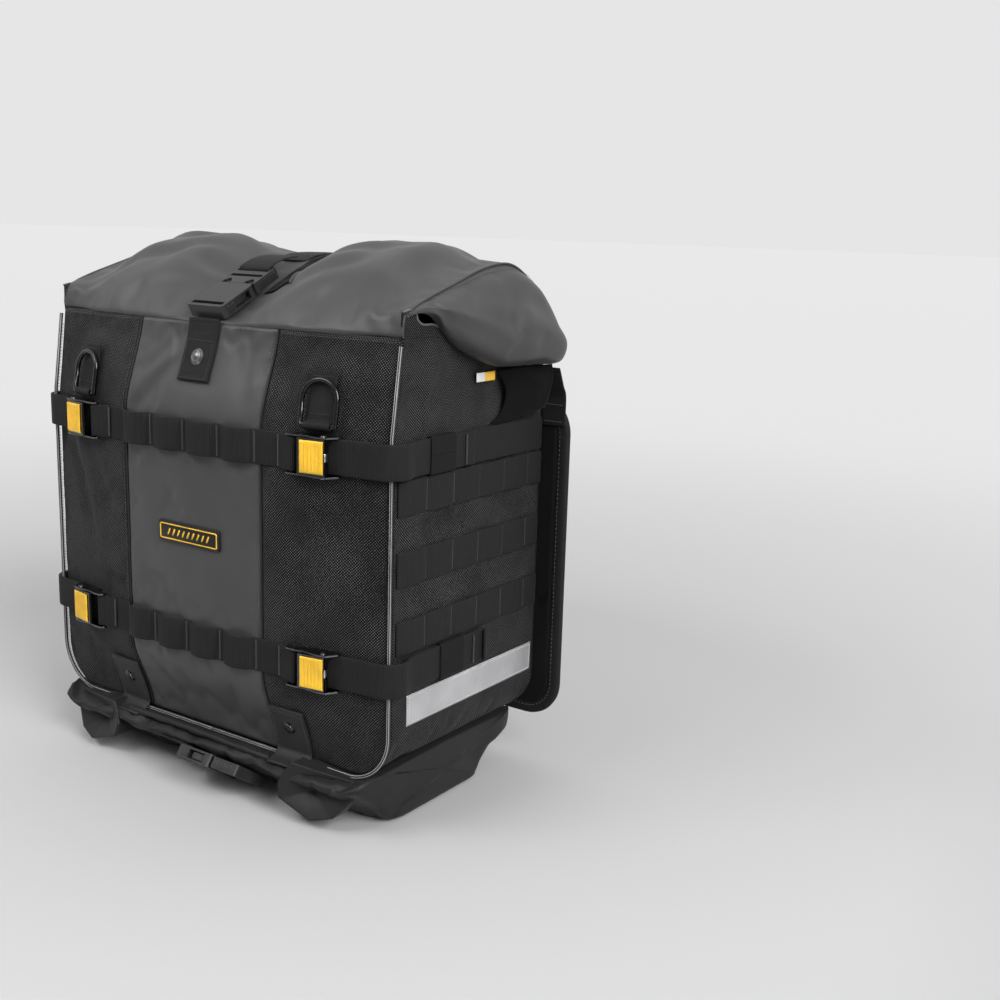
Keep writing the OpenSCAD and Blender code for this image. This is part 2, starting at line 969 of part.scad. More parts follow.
module at_pouch_buckle() {
    translate(pouch_mouth)
        rotate([pouch_tilt, 0, 0])
            children();
}

module pouch_buckle_female() {
    color(plastic_black)
        placed()
            at_pouch_buckle()
                buckle_socket();
}

module pouch_buckle_male() {
    color(plastic_black)
        placed()
            at_pouch_buckle()
                buckle_plug();
}

module pouch_prong_upper() {
    color(plastic_black)
        placed()
            at_pouch_buckle()
                buckle_prong(1);
}

module pouch_prong_lower() {
    color(plastic_black)
        placed()
            at_pouch_buckle()
                buckle_prong(-1);
}

// Strap from the left end of the pouch into the socket
module pouch_strap() {
    color(web_black)
        placed()
            at_pouch_buckle()
                translate([0, closing_w / 2, 0])
                    rotate([90, 0, 0])
                        linear_extrude(closing_w)
                            ribbon([[-84, -8.2], [-58, -8], [-40, -7.8], [-37.2, -7],
                                [-36.2, -5], [-36.2, 1]], -web_t);
}

front_center_panel();
front_left_panel();
front_right_panel();
left_side_panel();
right_side_panel();
base_panel();
back_panel();
base_stiffener();
backboard_core();
backboard_cover();
backboard_binding();
rack_loops();
roll_top_cover();
roll_end_left();
roll_end_right();
mouth_stiffener();
roll_straps();
closure_tab();
closure_snap();
closure_buckle_female();
closure_buckle_male();
closure_prong_left();
closure_prong_right();
closure_strap();
closure_strap_end();
straps_left();
straps_right();
keeper_upper_left();
keeper_upper_right();
keeper_lower_left();
keeper_lower_right();
buckle_frames();
cam_lever_upper_left();
cam_lever_upper_right();
cam_lever_lower_left();
cam_lever_lower_right();
lever_pad_upper_left();
lever_pad_upper_right();
lever_pad_lower_left();
lever_pad_lower_right();
cam_pins();
cam_springs();
daisy_upper();
daisy_lower();
d_ring_left();
d_ring_right();
d_ring_tabs();
molle_rows();
reflective_strips();
badge();
side_tag();
piping();
pouch_body();
pouch_tabs();
rivets();
pouch_strap();
pouch_buckle_female();
pouch_buckle_male();
pouch_prong_upper();
pouch_prong_lower();
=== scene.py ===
"""Looks of the soft motorcycle saddlebag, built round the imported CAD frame.

Helper functions take millimetres in the bag's own axes: X across, Y back from the front edge
piping, Z up from the ground. put() turns them into the record's frame in metres.
"""
import math

import bmesh
import bpy
import numpy as np
from mathutils import Matrix, Vector, noise


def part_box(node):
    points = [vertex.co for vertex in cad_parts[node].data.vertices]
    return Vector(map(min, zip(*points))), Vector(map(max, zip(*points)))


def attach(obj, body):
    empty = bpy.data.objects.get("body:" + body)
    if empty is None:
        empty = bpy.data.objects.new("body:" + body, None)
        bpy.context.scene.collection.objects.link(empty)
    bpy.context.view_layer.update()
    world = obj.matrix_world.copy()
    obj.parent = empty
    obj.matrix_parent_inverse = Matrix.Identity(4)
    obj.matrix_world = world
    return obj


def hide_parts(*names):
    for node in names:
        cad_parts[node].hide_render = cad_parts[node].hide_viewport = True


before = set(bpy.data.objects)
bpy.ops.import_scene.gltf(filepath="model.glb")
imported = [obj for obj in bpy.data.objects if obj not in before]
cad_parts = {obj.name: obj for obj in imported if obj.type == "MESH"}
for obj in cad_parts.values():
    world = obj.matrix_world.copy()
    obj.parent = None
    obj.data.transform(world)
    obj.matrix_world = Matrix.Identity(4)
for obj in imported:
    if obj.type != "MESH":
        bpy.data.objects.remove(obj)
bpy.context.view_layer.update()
MM = 0.001


def low(node):
    """Least x, y, z of a CAD node, in millimetres."""
    return np.array(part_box(node)[0]) / MM


def high(node):
    """Greatest x, y, z of a CAD node, in millimetres."""
    return np.array(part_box(node)[1]) / MM


# ---- Sizes in millimetres, read from the frame where it has them ----
HW = high("front_right_panel")[0]  # half the body's width
SEAM = low("front_right_panel")[0]  # from the middle to a long front seam
BASE = low("front_right_panel")[2]
TOP = high("front_right_panel")[2]
WALL_FRONT = 2.5  # where the side walls start
FRONT = low("right_side_panel")[1] - WALL_FRONT
DEPTH = high("back_panel")[1] - FRONT
WALL_BACK = DEPTH - 2.4
BULGE = FRONT - low("front_center_panel")[1]
ROLL = high("roll_top_cover")[2] - TOP
REACH = high("roll_end_right")[0] - HW - 0.3
BROW = 348.0  # height from which the front leans back
LEAN = 10.0  # how far it has leant back at the top
CORNER = HW - high("base_panel")[0]
HIGH_Z = (low("daisy_upper")[2] + high("daisy_upper")[2]) / 2
LOW_Z = (low("daisy_lower")[2] + high("daisy_lower")[2]) / 2
WEB = high("daisy_upper")[2] - low("daisy_upper")[2]  # width of the strap webbing
WEB_T = 1.5
WIDE = high("closure_tab")[0] - low("closure_tab")[0]  # width of the closing webbing
BUCKLE = 145.0  # from the middle to a cam buckle
RING_X, RING_Z = 147, 354  # tabs of the D-rings
TAB_X, RIVET_Z = 106, 80  # tabs that hang the pouch
SIDE_ROWS = (178, 238, 298)
LEVELS = (("upper", HIGH_Z), ("lower", LOW_Z))
SIDES = ((1, "right"), (-1, "left"))


def smooth(t):
    """Soft step from 0 to 1."""
    t = np.clip(t, 0, 1)
    return t * t * (3 - 2 * t)


def sag(z):
    """Share of the front's full bulge at a height."""
    return smooth((z - BASE) / 80) * (1 - 0.55 * smooth((z - BROW) / (TOP - BROW)))


def lean(z):
    """How far the front has leant back at a height."""
    return LEAN * np.maximum(0, z - BROW) / (TOP - BROW)


def face(x, z):
    """Depth of the front face behind the front edge, negative where it bulges."""
    return lean(z) - BULGE * sag(z) * (1 - np.minimum(1, np.abs(x) / HW) ** 2.5)


def face_frame(x, z):
    """Point on the front face with its right, inward and up directions."""
    turn = math.atan(float(face(x + 1, z) - face(x - 1, z)) / 2)
    tilt = -math.atan(float(face(x, z + 1) - face(x, z - 1)) / 2)
    m = Matrix.Rotation(turn, 3, "Z") @ Matrix.Rotation(tilt, 3, "X")
    return np.array([x, float(face(x, z)), z]), np.array(m)


def wobble(p, size, seed=0.0):
    """Smooth noise about -1 to 1 whose lumps are about size apart."""
    return noise.noise(Vector((p[0] / size + seed, p[1] / size - seed, p[2] / size + 2 * seed)))


def ripple(grid, size, seed):
    """wobble for every point of a grid."""
    return np.array([[wobble(p, size, seed) for p in row] for row in grid])


# ---- Node materials ----

class Nodes:
    """Short names for building a node tree."""

    def __init__(self, tree):
        self.t = tree

    def feed(self, socket, value):
        if isinstance(value, bpy.types.NodeSocket):
            self.t.links.new(value, socket)
        else:
            socket.default_value = value

    def coords(self, kind):
        return self.t.nodes.new("ShaderNodeTexCoord").outputs[kind]

    def split(self, vector):
        n = self.t.nodes.new("ShaderNodeSeparateXYZ")
        self.feed(n.inputs[0], vector)
        return n.outputs

    def math(self, op, a, b=0.0, c=0.0, clamp=False):
        n = self.t.nodes.new("ShaderNodeMath")
        n.operation = op
        n.use_clamp = clamp
        for socket, value in zip(n.inputs, (a, b, c)):
            self.feed(socket, value)
        return n.outputs[0]

    def noise(self, vector, scale, detail=2.0, rough=0.5, stretch=None):
        if stretch is not None:
            m = self.t.nodes.new("ShaderNodeMapping")
            self.feed(m.inputs[0], vector)
            m.inputs["Scale"].default_value = stretch
            vector = m.outputs[0]
        n = self.t.nodes.new("ShaderNodeTexNoise")
        self.feed(n.inputs["Vector"], vector)
        n.inputs["Scale"].default_value = scale
        n.inputs["Detail"].default_value = detail
        n.inputs["Roughness"].default_value = rough
        return n.outputs["Fac"]

    def between(self, fac, low_value, high_value):
        n = self.t.nodes.new("ShaderNodeMapRange")
        self.feed(n.inputs[0], fac)
        n.inputs[3].default_value = low_value
        n.inputs[4].default_value = high_value
        return n.outputs[0]

    def ramp(self, fac, *stops):
        n = self.t.nodes.new("ShaderNodeValToRGB")
        self.feed(n.inputs[0], fac)
        e = n.color_ramp.elements
        while len(e) < len(stops):
            e.new(0.5)
        for item, (place, color) in zip(e, stops):
            item.position = place
            item.color = (*color, 1)
        return n.outputs[0]

    def bump(self, height, distance, strength=1.0, before=None):
        n = self.t.nodes.new("ShaderNodeBump")
        n.inputs["Distance"].default_value = distance
        n.inputs["Strength"].default_value = strength
        self.feed(n.inputs["Height"], height)
        if before is not None:
            self.feed(n.inputs["Normal"], before)
        return n.outputs[0]

    def wave(self, value, pitch):
        """Sine of a length in metres with the given pitch in metres."""
        return self.math("SINE", self.math("MULTIPLY", value, 2 * math.pi / pitch))


class Tree(Nodes):
    """A material's nodes, with uniform values set straight on its shader."""

    def __init__(self, name, color, rough, metallic=0.0, **uniform):
        self.mat = bpy.data.materials.new(name)
        self.mat.use_nodes = True
        super().__init__(self.mat.node_tree)
        self.shader = self.t.nodes["Principled BSDF"]
        self.set("Base Color", (*color, 1))
        self.set("Roughness", rough)
        self.set("Metallic", metallic)
        for key, value in uniform.items():
            self.set(key.replace("_", " "), value)

    def set(self, socket, value):
        self.feed(self.shader.inputs[socket], value)


def woven(name, color, bright, pitch, rough, depth=0.00022):
    """Basket weave whose bundles stand proud as staggered dots, their tops painted lighter as a painted
    sheen.
    """
    t = Tree(name, color, rough, Specular_IOR_Level=0.1, Sheen_Weight=0.02, Sheen_Roughness=0.5)
    u, v, _ = t.split(t.coords("UV"))
    dots = t.math("MULTIPLY", t.wave(u, pitch), t.wave(v, pitch))
    height = t.math("MULTIPLY_ADD", dots, 0.5, 0.5)
    where = t.coords("Object")
    patchy = t.noise(where, 24, 3)
    fleck = t.noise(where, 420, 2)
    # bundle tops painted lighter: painted sheen, varied in patches and flecks
    lit = t.math("MULTIPLY_ADD", dots, 1.7, -0.25, clamp=True)
    uneven = t.math("MULTIPLY", t.between(patchy, 0.4, 1.5), t.between(fleck, 0.5, 1.4))
    shine = t.math("MULTIPLY", lit, uneven)
    t.set("Base Color", t.ramp(shine, (0.0, color), (0.3, [c * 1.5 for c in color]), (1.0, bright)))
    t.set("Roughness", t.between(patchy, rough - 0.06, rough + 0.1))
    t.set("Normal", t.bump(height, depth, 0.9))
    return t.mat


def coated(name, color, rough, grain=0.00003, crumple=0.0, shiny=0.34):
    """Smooth coated cloth: a faint grain, soft cloudy shade and scuffed patches."""
    t = Tree(name, color, rough, Specular_IOR_Level=shiny, Sheen_Weight=0.03, Sheen_Roughness=0.45)
    where = t.coords("Object")
    cloud = t.noise(where, 9, 3)
    scuff = t.noise(where, 70, 6, 0.65)
    shade = t.math("ADD", t.math("MULTIPLY", cloud, 0.7), t.math("MULTIPLY", scuff, 0.3))
    t.set("Base Color", t.ramp(shade, (0.3, [c * 0.82 for c in color]), (0.52, color),
                               (0.75, [c * 1.16 for c in color])))
    t.set("Roughness", t.between(scuff, rough - 0.07, rough + 0.1))
    fine = t.bump(t.noise(where, 1500, 2), grain, 0.8)
    if crumple:
        fine = t.bump(t.noise(where, 26, 4, 0.5), crumple, 0.8, fine)
    t.set("Normal", fine)
    return t.mat


def webbing(name, color, pitch=0.0015, depth=0.00022):
    """Ribbed webbing: ribs across the length and fine warp threads."""
    t = Tree(name, color, 0.62, Specular_IOR_Level=0.11, Sheen_Weight=0.02, Sheen_Roughness=0.4)
    u, v, _ = t.split(t.coords("UV"))
    rib = t.math("ABSOLUTE", t.wave(u, pitch * 2))
    thread = t.math("ABSOLUTE", t.wave(v, 0.0016))
    where = t.coords("Object")
    fuzz = t.noise(where, 900, 3)
    stripe = t.noise(t.coords("UV"), 60, 2, 0.5, (6.0, 0.4, 1.0))
    height = t.math("ADD", t.math("MULTIPLY", rib, 0.8),
                    t.math("ADD", t.math("MULTIPLY", thread, 0.2), t.math("MULTIPLY", fuzz, 0.25)))
    # rib tops painted lighter and the grooves darker: painted highlight and painted shade that follow the
    # ribs, varied by a random stripe
    tone = t.math("MULTIPLY", t.math("MULTIPLY_ADD", rib, 0.7, 0.3), t.between(stripe, 0.7, 1.3))
    t.set("Base Color", t.ramp(tone, (0.1, [c * 0.45 for c in color]), (0.55, color),
                               (1.0, [c * 1.7 for c in color])))
    t.set("Roughness", t.between(fuzz, 0.52, 0.74))
    t.set("Normal", t.bump(height, depth, 0.9))
    return t.mat


def moulded(name, color, rough, **more):
    """Moulded plastic or thread: a fine grain and a cloudy shade."""
    t = Tree(name, color, rough, **more)
    where = t.coords("Object")
    fine = t.noise(where, 1100, 3)
    cloud = t.noise(where, 45, 4, 0.6)
    t.set("Base Color", t.ramp(cloud, (0.35, [c * 0.85 for c in color]), (0.7, [c * 1.2 for c in color])))
    t.set("Roughness", t.between(cloud, rough - 0.05, rough + 0.1))
    t.set("Normal", t.bump(fine, 0.00002, 0.7))
    return t.mat


def metal(name, color, rough, worn, **more):
    """Metal whose finish is rubbed brighter on its edges and in fine streaks."""
    t = Tree(name, color, rough, 1.0, **more)
    where = t.coords("Object")
    streak = t.noise(where, 260, 4, 0.6, (1.0, 1.0, 5.0))
    cloud = t.noise(where, 60, 3)
    edge = t.t.nodes.new("ShaderNodeNewGeometry").outputs["Pointiness"]
    rubbed = t.math("MULTIPLY_ADD", edge, 9.0, -4.75, clamp=True)
    mixed = t.math("ADD", t.math("MULTIPLY", rubbed, 0.75), t.math("MULTIPLY", streak, 0.22), clamp=True)
    t.set("Base Color", t.ramp(mixed, (0.1, color), (0.9, worn)))
    t.set("Roughness", t.between(cloud, rough - 0.05, rough + 0.12))
    t.set("Normal", t.bump(streak, 0.00002, 0.5))
    return t.mat


GREY = coated("coated_grey", (0.050, 0.050, 0.0515), 0.44)
BLACK = coated("coated_black", (0.013, 0.013, 0.0135), 0.5, crumple=0.0012, shiny=0.26)
# Near-black cloth: dark lining in places, and painted shade in the roll's fold, the hollows behind the wall
# hems and under the folded ends
LINING_AND_SHADE = coated("lining_and_painted_shade", (0.004, 0.004, 0.004), 0.8, shiny=0.1)
WEAVE = woven("ballistic_weave", (0.0035, 0.0035, 0.0038), (0.125, 0.125, 0.127), 0.0026, 0.6)
STRAP = webbing("webbing_black", (0.0115, 0.0115, 0.012))
ELASTIC = webbing("webbing_elastic", (0.007, 0.007, 0.0074), 0.0010, 0.00014)
TAPE = webbing("binding_tape", (0.012, 0.012, 0.0125), 0.0009, 0.00012)
BOARD = woven("board_cloth", (0.004, 0.004, 0.0042), (0.016, 0.016, 0.016), 0.0014, 0.7, 0.00006)
PLASTIC = moulded("buckle_plastic", (0.022, 0.022, 0.023), 0.4, Specular_IOR_Level=0.42)
SHEET = moulded("stiffener_sheet", (0.12, 0.12, 0.12), 0.6)
IRON = metal("black_metal", (0.024, 0.024, 0.026), 0.24, (0.4, 0.4, 0.42), Coat_Weight=0.35,
             Coat_Roughness=0.12)
STEEL = metal("bright_steel", (0.5, 0.5, 0.51), 0.24, (0.8, 0.8, 0.8))
DULL_STEEL = metal("snap_steel", (0.16, 0.16, 0.165), 0.3, (0.6, 0.6, 0.6))
THREAD = moulded("thread", (0.075, 0.075, 0.078), 0.6, Sheen_Weight=0.2)
DARK_THREAD = moulded("thread_dark", (0.014, 0.014, 0.014), 0.65, Sheen_Weight=0.2)
PIPE_CORE = moulded("piping_core", (0.02, 0.02, 0.02), 0.5, Specular_IOR_Level=0.3)
PIPING = moulded("piping_reflective", (0.26, 0.26, 0.265), 0.34, Specular_IOR_Level=0.5)
PIPING_SOFT = moulded("hem_edge", (0.11, 0.11, 0.112), 0.45)
RUBBER = moulded("badge_rubber", (0.010, 0.010, 0.010), 0.42, Specular_IOR_Level=0.35)
YELLOW = moulded("yellow_moulding", (0.82, 0.47, 0.03), 0.42, Specular_IOR_Level=0.4,
                 Subsurface_Weight=0.03)
WHITE = moulded("tag_white", (0.6, 0.6, 0.6), 0.5)


def reflective(name):
    """Retro-reflective tape: silver-grey with a fine honeycomb of cells."""
    t = Tree(name, (0.42, 0.42, 0.43), 0.36, 0.35, Specular_IOR_Level=0.7)
    u, v, _ = t.split(t.coords("UV"))
    cells = t.math("MULTIPLY", t.math("ABSOLUTE", t.wave(u, 0.0044)),
                   t.math("ABSOLUTE", t.wave(t.math("MULTIPLY_ADD", u, 0.5, v), 0.0044)))
    cloud = t.noise(t.coords("Object"), 30, 4)
    tone = t.math("ADD", t.math("MULTIPLY", cells, 0.3), t.math("MULTIPLY", cloud, 0.7))
    t.set("Base Color", t.ramp(tone, (0.2, (0.32, 0.32, 0.33)), (0.8, (0.56, 0.56, 0.57))))
    t.set("Roughness", t.between(cloud, 0.28, 0.5))
    t.set("Normal", t.bump(cells, 0.00005, 0.6))
    return t.mat


SILVER = reflective("reflective_tape")


# ---- Mesh building ----

def put(points):
    """Bag millimetres to metres in the record's frame."""
    p = np.asarray(points, float).reshape(-1, 3).copy()
    p[:, 1] += FRONT
    return p * MM


def add(name, points, faces, mat, uv=None, body="root", slot=None, nodes=(), closed=True, soft=True):
    me = bpy.data.meshes.new(name)
    me.from_pydata(put(points).tolist(), [], [tuple(int(i) for i in f) for f in faces])
    if uv is not None:
        layer = me.uv_layers.new(name="UVMap")
        loops = np.zeros(len(me.loops), int)
        me.loops.foreach_get("vertex_index", loops)
        layer.data.foreach_set("uv", (np.asarray(uv, float).reshape(-1, 2)[loops] * MM).ravel())
    if closed:
        bm = bmesh.new()
        bm.from_mesh(me)
        bmesh.ops.recalc_face_normals(bm, faces=bm.faces)
        bm.to_mesh(me)
        bm.free()
    me.polygons.foreach_set("use_smooth", [soft] * len(me.polygons))
    me.materials.append(mat)
    me.update()
    ob = bpy.data.objects.new(name, me)
    bpy.context.scene.collection.objects.link(ob)
    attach(ob, body)
    if nodes:
        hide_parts(*nodes)
    return ob


class Parts:
    """Gathers several meshes into one piece."""

    def __init__(self):
        self.points, self.faces, self.uv, self.count = [], [], [], 0

    def take(self, points, faces, uv=None):
        points = np.asarray(points, float).reshape(-1, 3)
        self.faces += [[i + self.count for i in f] for f in faces]
        self.points.append(points)
        self.uv.append(np.zeros((len(points), 2)) if uv is None else np.asarray(uv, float).reshape(-1, 2))
        self.count += len(points)
        return self

    def make(self, name, mat, **more):
        return add(name, np.vstack(self.points), self.faces, mat, np.vstack(self.uv), **more)


def normals_of(grid):
    """Unit normal at every point of a grid."""
    du = np.gradient(grid, axis=0)
    dv = np.gradient(grid, axis=1)
    n = np.cross(du, dv)
    return n / np.maximum(np.linalg.norm(n, axis=2, keepdims=True), 1e-9)


def lengths(grid, axis):
    """Distance along the grid's lines in one direction, for its UV."""
    d = np.linalg.norm(np.diff(grid, axis=axis), axis=2)
    pad = [(0, 0), (0, 0)]
    pad[axis] = (1, 0)
    return np.pad(np.cumsum(d, axis=axis), pad)


def slab(grid, thick, inward, uv=None):
    """Closed sheet: the grid is its outer face, and inward is a direction on its inner side."""
    n, m, _ = grid.shape
    norm = normals_of(grid)
    if np.mean(norm @ np.asarray(inward, float)) > 0:
        norm = -norm
    inner = grid - norm * thick
    if uv is None:
        uv = np.dstack([lengths(grid, 0), lengths(grid, 1)])
    faces = []
    for i in range(n - 1):
        for j in range(m - 1):
            a = i * m + j
            faces.append((a, a + 1, a + m + 1, a + m))
            b = a + n * m
            faces.append((b, b + m, b + m + 1, b + 1))
    edge = ([j for j in range(m - 1)] + [i * m + m - 1 for i in range(n - 1)]
            + [(n - 1) * m + j for j in range(m - 1, 0, -1)] + [i * m for i in range(n - 1, 0, -1)])
    for k, a in enumerate(edge):
        b = edge[(k + 1) % len(edge)]
        faces.append((a, b, b + n * m, a + n * m))
    return np.vstack([grid.reshape(-1, 3), inner.reshape(-1, 3)]), faces, np.vstack([uv.reshape(-1, 2)] * 2)


def sheet(name, grid, thick, inward, mat, slot="coated_fabric", uv=None, nodes=()):
    """Sewn piece of cloth as a slab of its own."""
    points, faces, flat = slab(grid, thick, inward, uv)
    add(name, points, faces, mat, flat, slot=slot, nodes=nodes)


def ring_faces(rows, cols, loop=False):
    """Quads along rows of rings, with a cap at each end unless the rows close on themselves."""
    faces = [(i * cols + k, i * cols + (k + 1) % cols,
              (i + 1) % rows * cols + (k + 1) % cols, (i + 1) % rows * cols + k)
             for i in range(rows if loop else rows - 1) for k in range(cols)]
    if not loop:
        faces += [tuple(range(cols)), tuple(range((rows - 1) * cols, rows * cols))]
    return faces


def rounded(half_w, half_h, radius, steps):
    """Rectangle with round corners about its centre, each corner of so many points."""
    points = []
    for sx, sz, turn in ((1, 1, 0), (-1, 1, 90), (-1, -1, 180), (1, -1, 270)):
        for k in range(steps):
            q = math.radians(turn + 90 / (steps - 1) * k)
            points.append((sx * (half_w - radius) + radius * math.cos(q),
                           sz * (half_h - radius) + radius * math.sin(q)))
    return points


def unit(vectors):
    """Rows of vectors brought to length 1."""
    return vectors / np.linalg.norm(vectors, axis=1, keepdims=True)


def spans(points):
    """Distances between neighbouring points."""
    return np.linalg.norm(np.diff(points, axis=0), axis=1)


def travel(points):
    """Distance from the first point to each one along their line."""
    return np.concatenate([[0], np.cumsum(spans(points))])


def spline(points, count):
    """Even points along a Catmull-Rom curve through the given ones."""
    p = np.asarray(points, float)
    ends = np.vstack([2 * p[0] - p[1], p, 2 * p[-1] - p[-2]])
    out = []
    for i in range(len(p) - 1):
        a, b, c, d = ends[i:i + 4]
        for t in np.linspace(0, 1, 24, endpoint=False):
            out.append(0.5 * (2 * b + (c - a) * t + (2 * a - 5 * b + 4 * c - d) * t * t
                              + (3 * b - a - 3 * c + d) * t ** 3))
    out.append(p[-1])
    return even(np.array(out), count)


def even(points, count):
    """Points at equal distances along a line of points."""
    p = np.asarray(points, float)
    s = travel(p)
    at = np.linspace(0, s[-1], count)
    return np.column_stack([np.interp(at, s, p[:, k]) for k in range(p.shape[1])])


def ribbon(path, across, width, thick=WEB_T, step=2.0):
    """Webbing with rounded edges along the middle line of its thickness."""
    p = np.asarray(path, float)
    p = even(p, max(3, int(np.sum(spans(p)) / step) + 1))
    a = unit(np.broadcast_to(np.asarray(across, float), p.shape))
    out = np.cross(unit(np.gradient(p, axis=0)), a)
    s = np.array([-1, -0.985, -0.93, -0.6, -0.2, 0.2, 0.6, 0.93, 0.985, 1])
    h = np.array([0, 0.3, 0.46, 0.5, 0.5, 0.5, 0.5, 0.46, 0.3, 0]) * thick
    ring = [(x, y) for x, y in zip(s, h)] + [(x, -y) for x, y in zip(s[-2:0:-1], h[-2:0:-1])]
    pts = np.array([[p[i] + a[i] * r[0] * width / 2 + out[i] * r[1] for r in ring] for i in range(len(p))])
    uv = np.array([[(along, r[0] * width / 2) for r in ring] for along in travel(p)])
    return pts.reshape(-1, 3), ring_faces(len(p), len(ring)), uv.reshape(-1, 2)


def tube(path, radius, sides=10, closed=False):
    """Round bar along a path, its radius one number or one for each point."""
    p = np.asarray(path, float)
    n = len(p)
    tangent = unit(np.roll(p, -1, axis=0) - np.roll(p, 1, axis=0) if closed else np.gradient(p, axis=0))
    up = np.array([0.31, 0.17, 0.94])
    rings = []
    for i in range(n):
        side = np.cross(tangent[i], up)
        side /= np.linalg.norm(side)
        up = np.cross(side, tangent[i])
        r = radius[i] if hasattr(radius, "__len__") else radius
        rings.append([p[i] + r * (math.cos(a) * side + math.sin(a) * up)
                      for a in np.linspace(0, 2 * math.pi, sides, endpoint=False)])
    return np.array(rings).reshape(-1, 3), ring_faces(n, sides, closed)


def stitches(parts, line, out, pitch=3.4, length=2.3, radius=0.3):
    """Row of thread stitches lying on a line, out being the surface's outward direction."""
    p = np.asarray(line, float)
    count = max(1, int(np.sum(spans(p)) / pitch))
    fine = even(p, count * 4 + 1)
    o = np.broadcast_to(np.asarray(out, float), p.shape)
    s = np.linspace(0, 1, len(p))
    at = np.linspace(0, 1, count * 4 + 1)
    o = unit(np.column_stack([np.interp(at, s, o[:, k]) for k in range(3)]))
    for k in range(count):
        i = 4 * k + 2
        d = fine[i + 1] - fine[i - 1]
        d /= np.linalg.norm(d)
        c = fine[i]
        line5 = [c + d * x * length / 2 + o[i] * h for x, h in
                 ((-1, -0.25), (-0.7, 0.1), (0, 0.22), (0.7, 0.1), (1, -0.25))]
        parts.take(*tube(line5, [radius * q for q in (0.5, 1, 1.1, 1, 0.5)], 5))
    return parts


def tack(parts, centre, along, across, out, wide=1.9, tall=26.0):
    """Bar tack: a dense ladder of stitches across the webbing."""
    c, a, b, o = (np.asarray(v, float) for v in (centre, along, across, out))
    rows = int(tall / 0.8) * 2 + 1
    grid = np.zeros((rows, 5, 3))
    for i in range(rows):
        for j in range(5):
            h = 0.34 * (0.4 + 0.6 * (i % 2)) * (0, 0.8, 1, 0.8, 0)[j] + 0.02
            grid[i, j] = c + b * (i / (rows - 1) - 0.5) * tall + a * (j / 4 - 0.5) * wide + o * h
    parts.take(*slab(grid, 0.3, -o)[:2])
    return parts


def settle(grid, outward, pinned, pressure, grow, out_cap, in_cap, seed, bend, frames=16):
    """Lets a grid of cloth buckle with Blender's cloth solver and returns the moved grid.
    outward is a direction on its outer side, and pinned is 1 where the cloth is sewn down. The caps
    limit how far it may stand out or sink in."""
    n, m, _ = grid.shape
    flat = grid.reshape(-1, 3)
    norm = normals_of(grid).reshape(-1, 3)
    start = flat + norm * np.array([[0.9 * wobble(p, 46, seed)] for p in flat])
    me = bpy.data.meshes.new("cloth_work")
    me.from_pydata((start * MM).tolist(), [],
                   [(i * m + j, i * m + j + 1, (i + 1) * m + j + 1, (i + 1) * m + j)
                    for i in range(n - 1) for j in range(m - 1)])
    ob = bpy.data.objects.new("cloth_work", me)
    bpy.context.scene.collection.objects.link(ob)
    group = ob.vertex_groups.new(name="pin")
    for i, w in enumerate(np.asarray(pinned, float).reshape(-1)):
        if w > 0.01:
            group.add([i], float(min(1.0, w)), "REPLACE")
    cloth = ob.modifiers.new("cloth", "CLOTH")
    s = cloth.settings
    s.quality = 6
    s.mass = 0.2
    s.tension_stiffness = s.compression_stiffness = 30
    s.shear_stiffness = 12
    s.bending_stiffness = bend
    s.vertex_group_mass = "pin"
    s.use_pressure = pressure != 0
    s.uniform_pressure_force = pressure
    s.shrink_min = s.shrink_max = -grow
    s.effector_weights.gravity = 0
    cloth.collision_settings.use_collision = False
    cloth.point_cache.frame_start, cloth.point_cache.frame_end = 1, frames
    scene = bpy.context.scene
    for f in range(1, frames + 1):
        scene.frame_set(f)
    result = ob.evaluated_get(bpy.context.evaluated_depsgraph_get()).to_mesh()
    co = np.zeros(len(flat) * 3)
    result.vertices.foreach_get("co", co)
    moved = co.reshape(-1, 3) / MM - flat
    bpy.data.objects.remove(ob)
    scene.frame_set(1)
    if np.mean(norm @ np.array(outward)) < 0:
        norm = -norm
    d = np.sum(moved * norm, axis=1, keepdims=True)
    side = moved - d * norm
    d = np.where(d > 0, out_cap * np.tanh(d / out_cap), in_cap * np.tanh(d / in_cap))
    side *= np.minimum(1, 2.0 / np.maximum(np.linalg.norm(side, axis=1, keepdims=True), 1e-6))
    free = 1 - np.minimum(1, np.asarray(pinned, float).reshape(-1, 1))
    return (flat + (d * norm + side) * free).reshape(n, m, 3)


def creases(x, z, lines):
    """Depth of soft folds at (x, z). Each line is x0, z0, x1, z1, width, depth: a valley with a
    small ridge beside it."""
    total = np.zeros(np.shape(x))
    for x0, z0, x1, z1, wide, deep in lines:
        d = np.array([x1 - x0, z1 - z0])
        size = np.linalg.norm(d)
        d = d / size
        s = ((x - x0) * d[0] + (z - z0) * d[1]) / size
        q = (-(x - x0) * d[1] + (z - z0) * d[0]) / wide
        fade = np.sin(np.pi * np.clip(s, 0, 1)) ** 0.7
        total += deep * fade * (np.exp(-q * q) - 0.45 * np.exp(-(q - 1.6) ** 2 / 0.8))
    return total


# ---- Camera, floor and light ----

